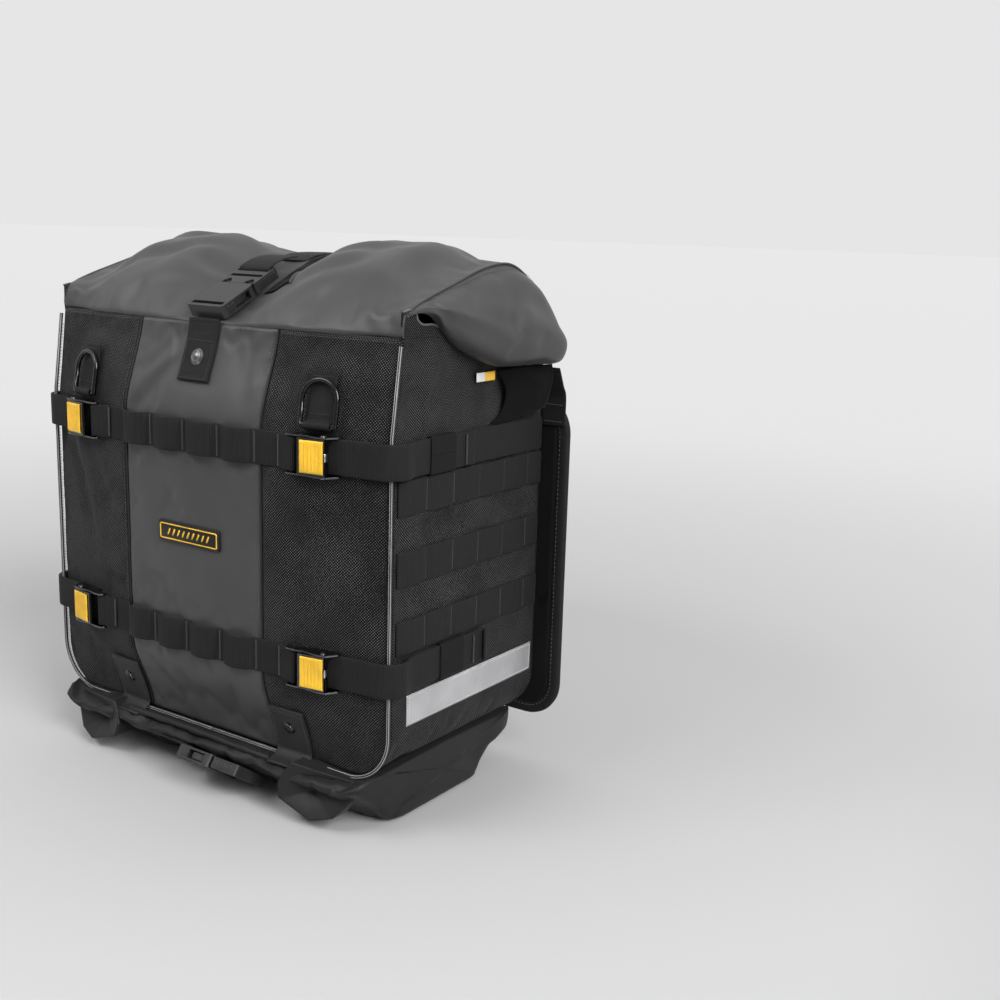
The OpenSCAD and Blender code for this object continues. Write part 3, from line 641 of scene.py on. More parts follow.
def look():
    """Camera in the place solved from the photo."""
    cam = bpy.data.objects.new("camera", bpy.data.cameras.new("camera"))
    bpy.context.scene.collection.objects.link(cam)
    cam.data.lens = 46.0
    cam.data.sensor_width = 36
    yaw, pitch, roll = (math.radians(a) for a in (34.26, 12.086, 1.791))
    forward = Vector((-math.sin(yaw) * math.cos(pitch), math.cos(yaw) * math.cos(pitch), -math.sin(pitch)))
    right = forward.cross(Vector((0, 0, 1))).normalized()
    up = right.cross(forward)
    r2 = math.cos(roll) * right + math.sin(roll) * up
    u2 = -math.sin(roll) * right + math.cos(roll) * up
    m = Matrix((r2, u2, -forward)).transposed().to_4x4()
    m.translation = Vector((854.1, -787.5 + FRONT, 518.9)) * MM
    cam.matrix_world = m
    cam.data.clip_start, cam.data.clip_end = 0.05, 150
    bpy.context.scene.camera = cam


def area(name, place, target, size, power):
    """Soft rectangular light, in metres and watts."""
    data = bpy.data.lights.new(name, "AREA")
    data.shape = "RECTANGLE"
    data.size, data.size_y = size
    data.energy = power
    ob = bpy.data.objects.new(name, data)
    bpy.context.scene.collection.objects.link(ob)
    ob.location = place
    ob.rotation_euler = (Vector(target) - Vector(place)).to_track_quat("-Z", "Y").to_euler()


look()
area("key_top_left", (-3.2, -2.6, 4.6), (0, 0, 0.3), (2.6, 2.6), 22)
area("top_soft", (0.5, 1.2, 4.4), (0, 0, 0.3), (3.2, 2.8), 12)
area("key_right", (3.3, -1.2, 2.3), (0, 0, 0.3), (2.0, 2.0), 165)
area("front_top", (-0.35, -1.05, 1.3), (0, -0.1, 0.42), (0.9, 0.4), 10)

def horizon(tree, x, y):
    """Brightness of the backdrop in the level direction x, y: palest behind the bag."""
    toward = tree.math("MULTIPLY_ADD", x, 0.56, tree.math("MULTIPLY", y, -0.83))
    return tree.math("MULTIPLY_ADD", tree.math("MULTIPLY_ADD", toward, -1.5, 0.62, clamp=True), 0.52, 0.27)


def backdrop():
    """World that stands for a plain studio wall."""
    world = bpy.data.worlds.new("studio")
    bpy.context.scene.world = world
    world.use_nodes = True
    w = Nodes(world.node_tree)
    x, y, z = w.split(w.coords("Generated"))
    above = w.math("MULTIPLY_ADD", z, 1.7, -0.6, clamp=True)
    shader = w.t.nodes["Background"]
    w.feed(shader.inputs["Color"], w.math("MULTIPLY_ADD", above, 0.08, horizon(w, x, y)))
    shader.inputs["Strength"].default_value = 1.0


def floor_plane(tone=(0.5, 0.5, 0.505)):
    """Pale floor whose own colour fades to black with distance while a painted glow in the tone of the
    horizon takes its place.
    """
    bpy.ops.mesh.primitive_plane_add(size=90, location=(0, 0, -0.0004))
    floor = bpy.context.active_object
    floor.name = "studio_floor"
    t = Tree("floor_pale", tone, 0.9, Specular_IOR_Level=0.05)
    x, y, _ = t.split(t.coords("Object"))
    far = t.math("SQRT", t.math("ADD", t.math("MULTIPLY", x, x), t.math("MULTIPLY", y, y)))
    fade = t.math("MULTIPLY_ADD", far, 0.5, -0.3, clamp=True)
    fade = t.math("MULTIPLY", fade, t.math("MULTIPLY_ADD", fade, -1.0, 2.0))
    t.set("Base Color", t.ramp(fade, (0.0, tone), (1.0, (0.0, 0.0, 0.0))))
    # painted glow: the far floor emits light in the horizon's tone instead of being lit
    glow = horizon(t, t.math("DIVIDE", x, far), t.math("DIVIDE", y, far))
    t.set("Emission Color", t.math("MULTIPLY", fade, glow))
    t.set("Emission Strength", 1.0)
    t.set("Roughness", t.between(t.noise(t.coords("Object"), 3.0), 0.85, 0.95))
    floor.data.materials.append(t.mat)


backdrop()
floor_plane()
bpy.context.scene.view_settings.view_transform = "Standard"


# ---- Front panels ----
# Folds as x0, z0, x1, z1, width, depth
FOLDS_CENTRE = [(-20, 425, -82, 372, 7, 2.6), (-26, 398, -84, 330, 9, 3.0), (-30, 372, -70, 322, 6, 1.6),
                (-60, 300, 10, 205, 20, 2.0), (-70, 225, -20, 150, 14, 1.4), (20, 312, 70, 268, 14, 1.4),
                (40, 425, 70, 350, 10, 1.6), (60, 120, 20, 70, 12, 1.5), (-75, 120, -30, 66, 10, 1.4)]
FOLDS_LEFT = [(-190, 312, -160, 262, 7, 2.0), (-176, 300, -140, 190, 10, 2.2), (-150, 305, -104, 230, 9, 1.6),
              (-200, 120, -130, 80, 12, 1.8), (-120, 410, -98, 360, 9, 1.3)]
FOLDS_RIGHT = [(100, 300, 150, 190, 16, 1.6), (160, 300, 200, 200, 12, 1.4), (150, 120, 195, 90, 12, 1.6),
               (100, 410, 120, 352, 9, 1.2), (180, 420, 195, 370, 9, 1.3)]


def quiet(x, z):
    """1 where hardware is sewn to the front and the cloth is held flat."""
    hold = np.zeros(np.shape(x))
    for zc in (HIGH_Z, LOW_Z):
        hold = np.maximum(hold, np.exp(-((z - zc) / 17.0) ** 4))
    hold = np.maximum(hold, np.exp(-(x / 22.0) ** 4) * smooth((z - 366) / 12))
    hold = np.maximum(hold, np.exp(-((np.abs(x) - RING_X) / 20.0) ** 4) * np.exp(-((z - 372) / 30.0) ** 4))
    hold = np.maximum(hold, np.exp(-((np.abs(x) - TAB_X) / 24.0) ** 4) * (1 - smooth((z - 96) / 10)))
    hold = np.maximum(hold, np.exp(-(x / 42.0) ** 4) * np.exp(-((z - 240) / 14.0) ** 4))
    return hold


def edge_roll(s, size, width):
    """How far a sewn edge turns in, s being the distance to the seam."""
    return size * (1 - smooth(s / width)) ** 2


def corner_x(z):
    """Half width of the front at a height, round the lower corners."""
    h = np.maximum(0, BASE + CORNER - z)
    return HW - (CORNER - np.sqrt(np.maximum(0, CORNER * CORNER - h * h)))


def front_panel(name, left, right, columns, folds, mat, slot, node, seed):
    """One of the three front panels, between two edges given as functions of the height."""
    zs = np.concatenate([BASE + CORNER * (1 - np.cos(np.linspace(0, math.pi / 2, 16)))[:-1],
                         np.linspace(BASE + CORNER, TOP, 112)])
    grid = np.zeros((columns, len(zs), 3))
    for j, z in enumerate(zs):
        grid[:, j, 0] = np.linspace(left(z), right(z), columns)
        grid[:, j, 2] = z
    x, z = grid[:, :, 0], grid[:, :, 2]
    grid[:, :, 1] = face(x, z)
    hold = quiet(x, z)
    u = np.linspace(0, 1, columns)[:, None]
    wide = abs(grid[-1, 60, 0] - grid[0, 60, 0])
    border = np.minimum(np.minimum(u, 1 - u) * wide, np.minimum(z - BASE, TOP - z))
    pin = np.maximum(hold, 1 - smooth(border / 5))
    grid = settle(grid, (0, -1, 0), pin, 0.5, 0.011, 0.5, 3.0, seed, 12.0)
    deep = creases(x, z, folds)
    soft = ripple(np.dstack([x, 0 * x, z]), 55, seed)
    free = (1 - hold) * smooth(border / 14)
    grid[:, :, 1] += free * np.maximum(-0.6, deep + 1.3 * soft)
    grid[:, :, 1] += edge_roll(border, 1.5, 4)
    sheet(name, grid, 1.6, (0, 1, 0), mat, slot, np.dstack([x, z]), [node])


front_panel("center_panel_fabric", lambda z: -SEAM, lambda z: SEAM, 62, FOLDS_CENTRE, GREY,
            "coated_fabric", "front_center_panel", 3.0)
front_panel("right_panel_fabric", lambda z: SEAM, corner_x, 46, FOLDS_RIGHT, WEAVE,
            "woven_fabric", "front_right_panel", 7.0)
front_panel("left_panel_fabric", lambda z: -corner_x(z), lambda z: -SEAM, 46, FOLDS_LEFT, WEAVE,
            "woven_fabric", "front_left_panel", 11.0)

# Welts over the two long seams, and the top seam's hem with its stitching
seams, thread, dark = Parts(), Parts(), Parts()
HEM_Z = TOP - 3.6


def hem_row(first, last, count):
    """Line just under the top seam of the front."""
    return np.array([[x, face(x, HEM_Z) + 0.05, HEM_Z] for x in np.linspace(first, last, count)])


for s in (-1, 1):
    line = [[s * SEAM, face(SEAM, z) + 0.35, z] for z in np.linspace(BASE + 2, TOP - 1, 110)]
    seams.take(*tube(line, 0.9, 8))
    row = [[s * SEAM - 3.4, face(SEAM - 3.4, z) + 0.12, z] for z in np.linspace(BASE + 6, TOP - 4, 90)]
    stitches(dark, row, (0, -1, 0), 3.4, 2.4, 0.28)
hem = hem_row(-SEAM + 3, SEAM - 3, 60)
for part in (hem[hem[:, 0] < -21], hem[hem[:, 0] > 21]):
    stitches(thread, part, (0, -1, 0), 3.0, 1.9, 0.34)
for s in (-1, 1):
    stitches(dark, hem_row(s * (SEAM + 3), s * (HW - 4), 40), (0, -1, 0), 3.0, 1.9, 0.3)
seams.make("front_seam_welts", BLACK, slot="coated_fabric")


# ---- Side walls, base and back ----

def side_wall(side, name, node, seed):
    """Side wall from the top seam down round its lower corner."""
    arc = [(HW - CORNER + CORNER * math.sin(a), BASE + CORNER * (1 - math.cos(a)))
           for a in np.linspace(0, math.pi / 2, 18)]
    line = arc + [(HW, z) for z in np.linspace(BASE + CORNER, TOP, 112)[1:]]
    us = np.linspace(0, 1, 72)
    grid = np.zeros((len(us), len(line), 3))
    for j, (x, z) in enumerate(line):
        y0 = WALL_FRONT + float(lean(z))
        grid[:, j] = [(x, y0 + u * (WALL_BACK - y0), z) for u in us]
    y, z = grid[:, :, 1], grid[:, :, 2]
    border = np.minimum(np.minimum(y - WALL_FRONT - lean(z), WALL_BACK - y), np.minimum(TOP - z, 40))
    rows = np.zeros(y.shape)
    for zc in (*SIDE_ROWS, 110.5, HIGH_Z, LOW_Z):
        rows = np.maximum(rows, np.exp(-((z - zc) / 16.0) ** 4))
    pin = np.maximum(rows, 1 - smooth(border / 6))
    grid = settle(grid, (1, 0, 0), pin, 0.3, 0.012, 0.4, 2.6, seed, 12.0)
    dent = np.zeros(y.shape)
    for zc in (208, 268):
        dent += 1.6 * np.exp(-((z - zc) / 9.0) ** 2)
    soft = ripple(np.dstack([0 * y, y, z]), 48, seed)
    hollow = 5.0 * np.exp(-((y - 170) / 34.0) ** 2) * smooth((z - 340) / 30)
    free = (1 - rows) * smooth(border / 12)
    push = free * np.maximum(-0.3, dent + 1.6 * soft + hollow)
    flat = np.clip((z - BASE) / CORNER, 0, 1)
    grid[:, :, 0] -= push * flat
    uv = np.dstack([y, lengths(grid, 1)])
    grid[:, :, 0] *= side
    sheet(name, grid, 1.6, (-side, 0, 0.2), WEAVE, "woven_fabric", uv, [node])


side_wall(1, "right_wall_fabric", "right_side_panel", 17.0)
side_wall(-1, "left_wall_fabric", "left_side_panel", 23.0)


def base_sheet(n=50, m=34):
    """Base panel with a slow swell between its sewn edges."""
    a = np.array([CORNER - HW, WALL_FRONT, BASE])
    b = np.array([HW - CORNER, WALL_FRONT, BASE])
    c = np.array([CORNER - HW, WALL_BACK, BASE])
    grid = np.zeros((n, m, 3))
    for p in range(n):
        for q in range(m):
            s, t = p / (n - 1), q / (m - 1)
            w = math.sin(math.pi * s) ** 0.6 * math.sin(math.pi * t) ** 0.6
            k = a + (b - a) * s + (c - a) * t
            grid[p, q] = k + np.array([0, 0, w * (0.6 + 0.8 * wobble(k, 60, 2.0))])
    sheet("base_fabric", grid, 1.8, (0, 0, 1), WEAVE, "woven_fabric", nodes=["base_panel"])


base_sheet()


def back_sheet():
    """Back panel, pressed a little hollow by the board."""
    zs = np.concatenate([BASE + CORNER * (1 - np.cos(np.linspace(0, math.pi / 2, 12)))[:-1],
                         np.linspace(BASE + CORNER, TOP, 60)])
    grid = np.zeros((64, len(zs), 3))
    for j, z in enumerate(zs):
        x = float(corner_x(z))
        for i, u in enumerate(np.linspace(-1, 1, 64)):
            w = (1 - abs(u) ** 3) * smooth((TOP - z) / 25)
            grid[i, j] = (u * x, DEPTH - 0.3 - 1.2 * w * (0.6 + 0.6 * wobble((u * x, 0, z), 50, 5.0)), z)
    sheet("back_fabric", grid, 1.7, (0, -1, 0), WEAVE, "woven_fabric", nodes=["back_panel"])


back_sheet()

# ---- Rolled top and its folded ends ----
# Sections of the roll, as shares of the depth and of its height: away from the closing strap, and under it
HIGH_LINE = [[0, 0], [0.06, 0.3], [0.17, 0.58], [0.32, 0.83], [0.47, 0.97], [0.61, 1],
             [0.75, 0.88], [0.88, 0.6], [0.97, 0.26], [1, 0]]
LOW_LINE = [[0, 0], [0.09, 0.13], [0.19, 0.31], [0.3, 0.55], [0.42, 0.8], [0.56, 0.97],
            [0.73, 0.99], [0.87, 0.72], [0.96, 0.32], [1, 0]]
DIP = ROLL - (high("closure_strap")[2] - WEB_T - 4.5 - TOP)
# Section at the end seams, as y and height above TOP
END_LINE = [[LEAN, 0], [LEAN + 0.6, 10], [LEAN + 3, 18], [21, 24], [42, 31], [72, 40.5], [105, 50],
            [139, 58], [163, 57], [188, 45], [207, 24], [218, 4], [DEPTH, 0]]


def top_curve(x, count):
    """Section of the rolled top at x, from the front seam to the back."""
    w = float(smooth(abs(x) / 100))
    y0 = float(face(x, TOP))
    drop = 1 - 0.17 * float(smooth((abs(x) - 150) / (HW - 150)))
    line = [[y0 + (DEPTH - y0) * (w * p[0] + (1 - w) * q[0]),
             TOP + w * ROLL * drop * p[1] + (1 - w) * (ROLL - DIP) * q[1]]
            for p, q in zip(HIGH_LINE, LOW_LINE)]
    last = [[y, TOP + z] for y, z in END_LINE]
    k = float(smooth((abs(x) - 148) / (HW - 148)))
    return spline(line, count) * (1 - k) + spline(last, count) * k


def roll_top():
    xs = np.linspace(-HW, HW, 122)
    grid = np.zeros((len(xs), 64, 3))
    for i, x in enumerate(xs):
        grid[i, :, 0] = x
        grid[i, :, 1:] = top_curve(float(x), 64)
    x, y = grid[:, :, 0].copy(), grid[:, :, 1].copy()
    s = np.linspace(0, 1, 64)[None, :] * np.ones(x.shape)
    border = np.minimum(np.minimum(s, 1 - s) * 240, HW - np.abs(x))
    strap = np.exp(-(x / 26.0) ** 6)
    pin = np.maximum(np.maximum(1 - smooth(border / 7), strap), 0.1)
    grid = settle(grid, (0, -0.3, 1), pin, 0.5, 0.012, 1.2, 4.0, 29.0, 20.0)
    folds = [(-206, 24, -60, 96, 10, 3.4), (-200, 75, -62, 156, 13, 3.8), (-196, 6, -150, 52, 8, 2.6),
             (-128, 6, -24, 44, 10, 3.0), (-100, 60, -22, 66, 9, 2.2), (22, 14, 130, 64, 12, 3.0),
             (22, 64, 160, 118, 13, 3.4), (60, 8, 196, 36, 14, 2.6), (30, 104, 180, 152, 14, 3.0),
             (-28, 124, -170, 178, 12, 3.0), (140, 96, 204, 46, 13, 2.4), (196, 6, 176, 60, 9, 2.6)]
    deep = creases(x, y, folds)
    free = smooth(border / 16) * (1 - strap)
    norm = normals_of(grid)
    norm *= np.sign(np.mean(norm[:, :, 2]))
    soft = ripple(grid, 60, 31.0)
    grid -= norm * (free * np.maximum(-0.9, deep + 2.0 * soft))[:, :, None]
    grid -= norm * edge_roll(np.minimum(s, 1 - s) * 240, 0.8, 4)[:, :, None]
    # the dip beside the closing strap, tucked in where the roll folds over
    tuck = np.exp(-((x - 40) / 13.0) ** 2) * smooth((y - 34) / 16) * (1 - smooth((y - 110) / 40))
    lift = np.exp(-(x / 34) ** 4) * smooth((y - 92) / 16) * (1 - smooth((y - 160) / 18))
    grid[:, :, 2] += 2.6 * lift - 3.5 * tuck
    sheet("roll_top_fabric", grid, 1.8, (0, 0.1, -1), GREY, nodes=["roll_top_cover"])
    return grid


top_grid = roll_top()


def on_roll(x, column):
    """Point on the rolled top at x along one column of its cloth."""
    line = top_grid[:, column]
    return [float(np.interp(x, line[:, 0], line[:, k])) for k in range(3)]


def fold_shadow():
    """Near-black sheet on the roll beside the closing strap, where the roll folds over: partly dark inner
    cloth, partly painted shade for the valley there.
    """
    span = [j for j in range(top_grid.shape[1]) if 44 < on_roll(30, j)[1] < 152]
    rows = []
    for j in span:
        reach = float(np.interp(on_roll(30, j)[1], [44, 54, 100, 152], [36, 32, 15, 3]))
        rows.append([np.array(on_roll(24 + reach * u, j)) + (0, -0.4, 1.2 + 0.5 * math.sin(math.pi * u))
                     for u in np.linspace(0, 1, 12)])
    rows = np.array(rows)
    # near-black sheet: painted shade in the valley beside the strap
    sheet("fold_shadow_cloth", rows, 0.6, (0, 0, -1), LINING_AND_SHADE)
    hem = Parts().take(*tube(rows[:, -1] + (0.4, 0, -0.4), 1.2, 8))
    hem.make("fold_shadow_hem", GREY, slot="coated_fabric")


fold_shadow()

# y, heights of the seam, the widest point and the lower edge above TOP, and the share of the reach
EAR_ROWS = [[15, 19.5, 18.5, 16, 0.03], [28, 26, 23, 18, 0.16], [46, 32.5, 22, 13, 0.34],
            [64, 38, 17, -2, 0.5], [84, 44, 10, -15, 0.66], [122, 55, 3, -29, 0.85],
            [160, 57.5, -3, -33, 0.98], [192, 42, -11, -34, 1], [213, 14, -18, -34, 0.72]]


def ear(side, name, node, seed):
    """Folded end of the roll: a crowned flap from the end seam out to its tip and back under."""
    rows = []
    for y, top, mid, deep, part in EAR_ROWS:
        reach = REACH * part
        rows.append([[HW - 1.2, y, TOP + top - 0.4],
                     [HW + 0.42 * reach, y, TOP + top - 0.26 * (top - mid)],
                     [HW + 0.82 * reach, y, TOP + mid + 0.28 * (top - mid)],
                     [HW + reach - 0.5, y, TOP + mid + 0.5],
                     [HW + 0.84 * reach, y, TOP + mid - 0.62 * (mid - deep)],
                     [HW + 0.34 * reach, y, TOP + deep + 1.5],
                     [HW - 0.5, y, TOP + deep + 3]])
    rows = np.array(rows)
    dense = np.array([spline(rows[:, k], 64) for k in range(rows.shape[1])])
    grid = np.array([spline(dense[:, i], 46) for i in range(64)])
    t = np.linspace(0, 1, 46)[None, :] * np.ones((64, 46))
    s = np.linspace(0, 1, 64)[:, None] * np.ones((64, 46))
    border = np.minimum(np.minimum(t, 1 - t) * 90, np.minimum(s, 1 - s) * 220)
    pin = np.maximum(1 - smooth(border / 7), 0.1)
    grid = settle(grid, (1, 0, 0.4), pin, 0.6, 0.011, 1.2, 3.0, seed, 20.0)
    norm = normals_of(grid)
    norm *= np.sign(np.mean(norm[:, :, 0]))
    soft = ripple(grid, 48, seed)
    deep = creases(grid[:, :, 1], grid[:, :, 2], [(52, 450, 196, 420, 9, 2.6), (40, 446, 120, 420, 7, 2.0),
                                                 (110, 484, 186, 440, 12, 1.6), (70, 466, 150, 452, 12, 1.2)])
    grid -= norm * (smooth(border / 18) * np.maximum(-0.8, deep + 1.6 * soft))[:, :, None]
    grid[:, :, 0] *= side
    sheet(name, grid, 1.6, (-side, 0, -0.4), GREY, nodes=[node])
    trims = Parts().take(*tube(grid[1:63, 0] + np.array([side * 1.2, 0, 0.3]), 1.0, 8))
    trims.take(*tube(grid[0, 1:45], 1.1, 8))
    # turned-in cloth that closes the back end of the flap against the wall
    last = grid[-1]
    inner = np.column_stack([np.full(46, side * (HW - 3)), last[:, 1] - 5, last[:, 2]])
    shut = np.array([last + (inner - last) * u + (0, -3.5 * math.sin(math.pi * u), 0)
                     for u in np.linspace(0, 1, 8)])
    trims.take(*slab(shut, 1.0, (0, -1, 0))[:2])
    trims.make(name + "_edge", GREY, slot="coated_fabric")
    row = grid[2:62, 3] + np.array([side * 0.6, 0, 0.75])
    stitches(dark, row, (side * 0.5, 0, 0.8), 3.4, 2.3, 0.26)


ear(1, "folded_end_fabric_right", "roll_end_right", 37.0)
ear(-1, "folded_end_fabric_left", "roll_end_left", 41.0)


def wall_top(side, hand):
    """Side wall's hemmed top edge inside the mouth of the fold, and behind it a near-black sheet that is
    painted shade for the hollow.
    """
    hem = spline([[10.5, 21], [20, 22.5], [27, 20], [29.5, 14], [37, 10], [51, 9.4], [66, 4], [84, -1]], 60)
    grid = np.array([[(side * (HW - 0.4 + 1.8 * math.sin(math.pi * v) * k / 60), y, TOP - 2 + v * (z + 2))
                      for v in np.linspace(0, 1, 10)] for k, (y, z) in enumerate(hem)])
    sheet(f"wall_top_fold_{hand}", grid, 1.4, (-side, 0, 0), WEAVE, "woven_fabric", grid[:, :, 1:])
    line = np.array([[side * (HW + 0.1), y, TOP + z] for y, z in hem])
    Parts().take(*tube(line, 0.95, 8)).make(f"wall_top_hem_{hand}", PIPING_SOFT, slot="piping")
    # near-black sheet behind the hem: painted shade in the hollow
    back = np.array([[(side * (HW - 9 - 5 * math.sin(math.pi * u) * math.sin(math.pi * v)), 14 + 66 * u,
                       TOP - 6 + (22 + 14 * u) * v) for v in np.linspace(0, 1, 8)]
                     for u in np.linspace(0, 1, 16)])
    sheet(f"fold_mouth_painted_shade_{hand}", back, 1.2, (-side, 0, 0), LINING_AND_SHADE)


wall_top(1, "right")
wall_top(-1, "left")


def gusset(side, name):
    """Layer folded under the end, from the side wall out to the strap at the board, in cloth darker than the
    bag's black: partly its own dark colour, partly painted shade under the end.
    """
    rows = [[[HW + 0.5, 133, 347], [HW + 0.5, 151, 357], [HW + 0.6, 159, 374], [HW + 0.8, 145, 394]],
            [[HW + 5, 152, 348], [HW + 7, 167, 361], [HW + 9, 174, 378], [HW + 8, 166, 396]],
            [[HW + 10, 177, 352], [HW + 13, 184, 365], [HW + 16, 188, 381], [HW + 15, 186, 397]],
            [[HW + 13, 205, 357], [HW + 17, 206, 368], [HW + 20, 207, 382], [HW + 19, 206, 397]]]
    rows = np.array(rows, float)
    dense = np.array([spline(rows[:, k], 34) for k in range(4)])
    grid = np.array([spline(dense[:, i], 24) for i in range(34)])
    grid[:, :, 0] = np.maximum(grid[:, :, 0] + 2.2 * ripple(grid, 20, 5.0), HW + 0.3)
    grid[:, :, 0] *= side
    # near-black cloth: the layer's own dark colour with painted shade under the folded end
    sheet(name, grid, 1.5, (-side, 0, 0.3), LINING_AND_SHADE)


gusset(1, "under_fold_right")
gusset(-1, "under_fold_left")

# ---- Straps and webbing ----
UP = (0, 0, 1)


def strap_line(x0, y1, gap):
    """Side strap seen from above: across the front, round the corner and back, gap off the cloth."""
    pts = [[x, float(face(x, HIGH_Z)) - gap] for x in np.arange(x0, 187, 4)]
    pts += [[HW - 8 + (13.8 + gap) * math.cos(math.radians(a)), 8 + (13.8 + gap) * math.sin(math.radians(a))]
            for a in range(-84, 1, 7)]
    pts += [[HW + gap + 0.6, 22], [HW + gap, 30], [HW + gap, y1]]
    return np.array(pts)


def side_strap(parts, side, z, base_end, tail_end, curled):
    """Two layers of one side strap, the outer one ending in a tail."""
    mid = 2.2 + WEB_T / 2
    outer = mid + WEB_T
    tail = strap_line(BUCKLE + 8, tail_end, outer)
    if curled:
        end = [[0.6, 2], [2.4, 4.2], [4.4, 2.6], [3.8, 0]]
        tail = np.vstack([tail, [[HW + outer + x, tail_end + y] for x, y in end]])
    for line in (strap_line(BUCKLE - 8, base_end, mid), tail):
        full = np.column_stack([line[:, 0] * side, line[:, 1], np.full(len(line), z)])
        parts.take(*ribbon(full, UP, WEB))
    tack(dark, (side * (HW + 7.0), tail_end - 14, z), (0, 1, 0), UP, (side, 0, 0), 1.8, 26)


for side, hand in SIDES:
    both = Parts()
    side_strap(both, side, HIGH_Z, DEPTH - 4, 106, False)
    side_strap(both, side, LOW_Z, 128, 124, True)
    both.make(f"side_straps_webbing_{hand}", STRAP, slot="webbing", nodes=[f"straps_{hand}"])

LOOP_PITCH = 2 * SEAM / 4
LOOP_L, LOOP_H = 33, 7  # length and height of a loop


def loop_rise(x):
    """How far the webbing across the front stands off at x."""
    t = ((x + SEAM) % LOOP_PITCH) / LOOP_L
    return LOOP_H * math.sin(math.pi * t) ** 0.6 if abs(x) < SEAM and t < 1 else 0.0


def bar_place(z):
    """Bar of a cam buckle, as x and y, that the front webbing is looped round."""
    a = math.atan(float(face(BUCKLE + 1, z) - face(BUCKLE - 1, z)) / 2)
    return np.array([BUCKLE - 20 * math.cos(a) + 6.6 * math.sin(a),
                     float(face(BUCKLE, z)) - 20 * math.sin(a) - 6.6 * math.cos(a)])


def daisy(name, z, node):
    """Row of webbing across the front, tacked down into loops, with its ends round the buckle bars."""
    line = [[x, float(face(x, z)) - 0.35 - WEB_T / 2 - loop_rise(x)] for x in np.arange(-114, 114.5, 1.5)]
    bar = bar_place(z)
    wrap = [[bar[0] + 2.7 * math.cos(a), bar[1] + 2.7 * math.sin(a)] for a in
            np.linspace(-math.pi * 0.55, math.pi * 0.5, 10)]
    right = np.array([[line[-1][0] - 6, line[-1][1] - WEB_T]] + wrap + [[bar[0] - 5, bar[1] + 3.2]])
    p = Parts()
    full = np.array([[x, y, z] for x, y in line])
    p.take(*ribbon(full, UP, WEB, step=1.4))
    for s in (1, -1):
        p.take(*ribbon(np.array([[s * x, y, z] for x, y in right]), UP, WEB, step=1.2))
    for k in range(5):
        x = -SEAM + k * LOOP_PITCH - (LOOP_PITCH - LOOP_L) / 2 + (0 if k else LOOP_PITCH - LOOP_L)
        x = min(max(x, -SEAM - 1.5), SEAM - 3)
        tack(dark, (x, float(face(x, z)) - 0.35 - WEB_T, z), (1, 0, 0), UP, (0, -1, 0), 2.0, 27)
    for s in (-1, 1):
        tack(dark, (s * 108, float(face(108, z)) - 0.35 - 2 * WEB_T, z), (1, 0, 0), UP, (0, -1, 0), 2.0, 27)
    p.make(name, STRAP, slot="webbing", nodes=[node])


daisy("daisy_webbing_upper", HIGH_Z, "daisy_upper")
daisy("daisy_webbing_lower", LOW_Z, "daisy_lower")

# Rows on the side walls, puffed a little between their tacks
ROW_PITCH = 38.0
rows = Parts()
for side in (1, -1):
    for z in SIDE_ROWS:
        line = []
        for y in np.linspace(6, 216, 180):
            puff = 2.3 * abs(math.sin(math.pi * (y - 6) / ROW_PITCH)) ** 0.7
            puff *= 0.75 + 0.5 * wobble((y / 9, z, side), 4, 2.0)
            line.append([side * (HW + 0.75 + puff), y, z])
        rows.take(*ribbon(line, UP, WEB, 1.3, 1.5))
        for k in range(6):
            y = min(max(6 + k * ROW_PITCH, 9), 213)
            tack(dark, (side * (HW + 1.45), y, z), (0, 1, 0), UP, (side, 0, 0), 1.6, 26)
rows.make("side_rows_webbing", STRAP, slot="webbing", nodes=["molle_rows"])


def keeper(node, name, side, band=1.1):
    """Elastic loop, a squared ring that slides on its strap."""
    a, b = low(node), high(node)
    x, y, z = (a + b) / 2
    hx, _, hz = (b - a) / 2 - band / 2
    ring = []
    for t in np.linspace(0, 2 * math.pi, 64, endpoint=False):
        c, s = math.cos(t), math.sin(t)
        q = 1 / (abs(c) ** 7 + abs(s) ** 7) ** (1 / 7)
        ring.append([side * (abs(x) + hx * c * q), y - FRONT, z + hz * s * q])
    ring.append(ring[0])
    Parts().take(*ribbon(ring, (0, 1, 0), b[1] - a[1], band, 1.2)).make(
        name, ELASTIC, slot="elastic", body=node, nodes=[node])


for word, _ in LEVELS:
    for side, hand in SIDES:
        keeper(f"keeper_{word}_{hand}", f"keeper_band_{word}_{hand}", side)

# Closing tab with its sewn foot, the strap over the top and its end in the plug
tab_zs = list(np.arange(378, 429, 2.5)) + [TOP]
tab = [[0, float(face(0, z)) - 0.2 - WEB_T, z] for z in tab_zs] + [[0, -1.6 - WEB_T, TOP + 3]]
p = Parts().take(*ribbon(tab, (1, 0, 0), WIDE, 2 * WEB_T))
p.make("closing_tab_webbing", STRAP, slot="webbing", nodes=["closure_tab"])


def tab_face(x, z):
    """Point on the outer face of the closing tab."""
    return [x, float(face(0, z)) - 0.2 - 2 * WEB_T - 0.05, z]


for z in (380.5, 413):
    row = [tab_face(x, z) for x in np.linspace(-WIDE / 2 + 3, WIDE / 2 - 3, 12)]
    stitches(dark, row, (0, -1, 0), 2.2, 1.6, 0.28)
for x in (-WIDE / 2 + 3, WIDE / 2 - 3):
    row = [tab_face(x, z) for z in np.linspace(380.5, 413, 14)]
    stitches(dark, row, (0, -1, 0), 2.2, 1.6, 0.28)

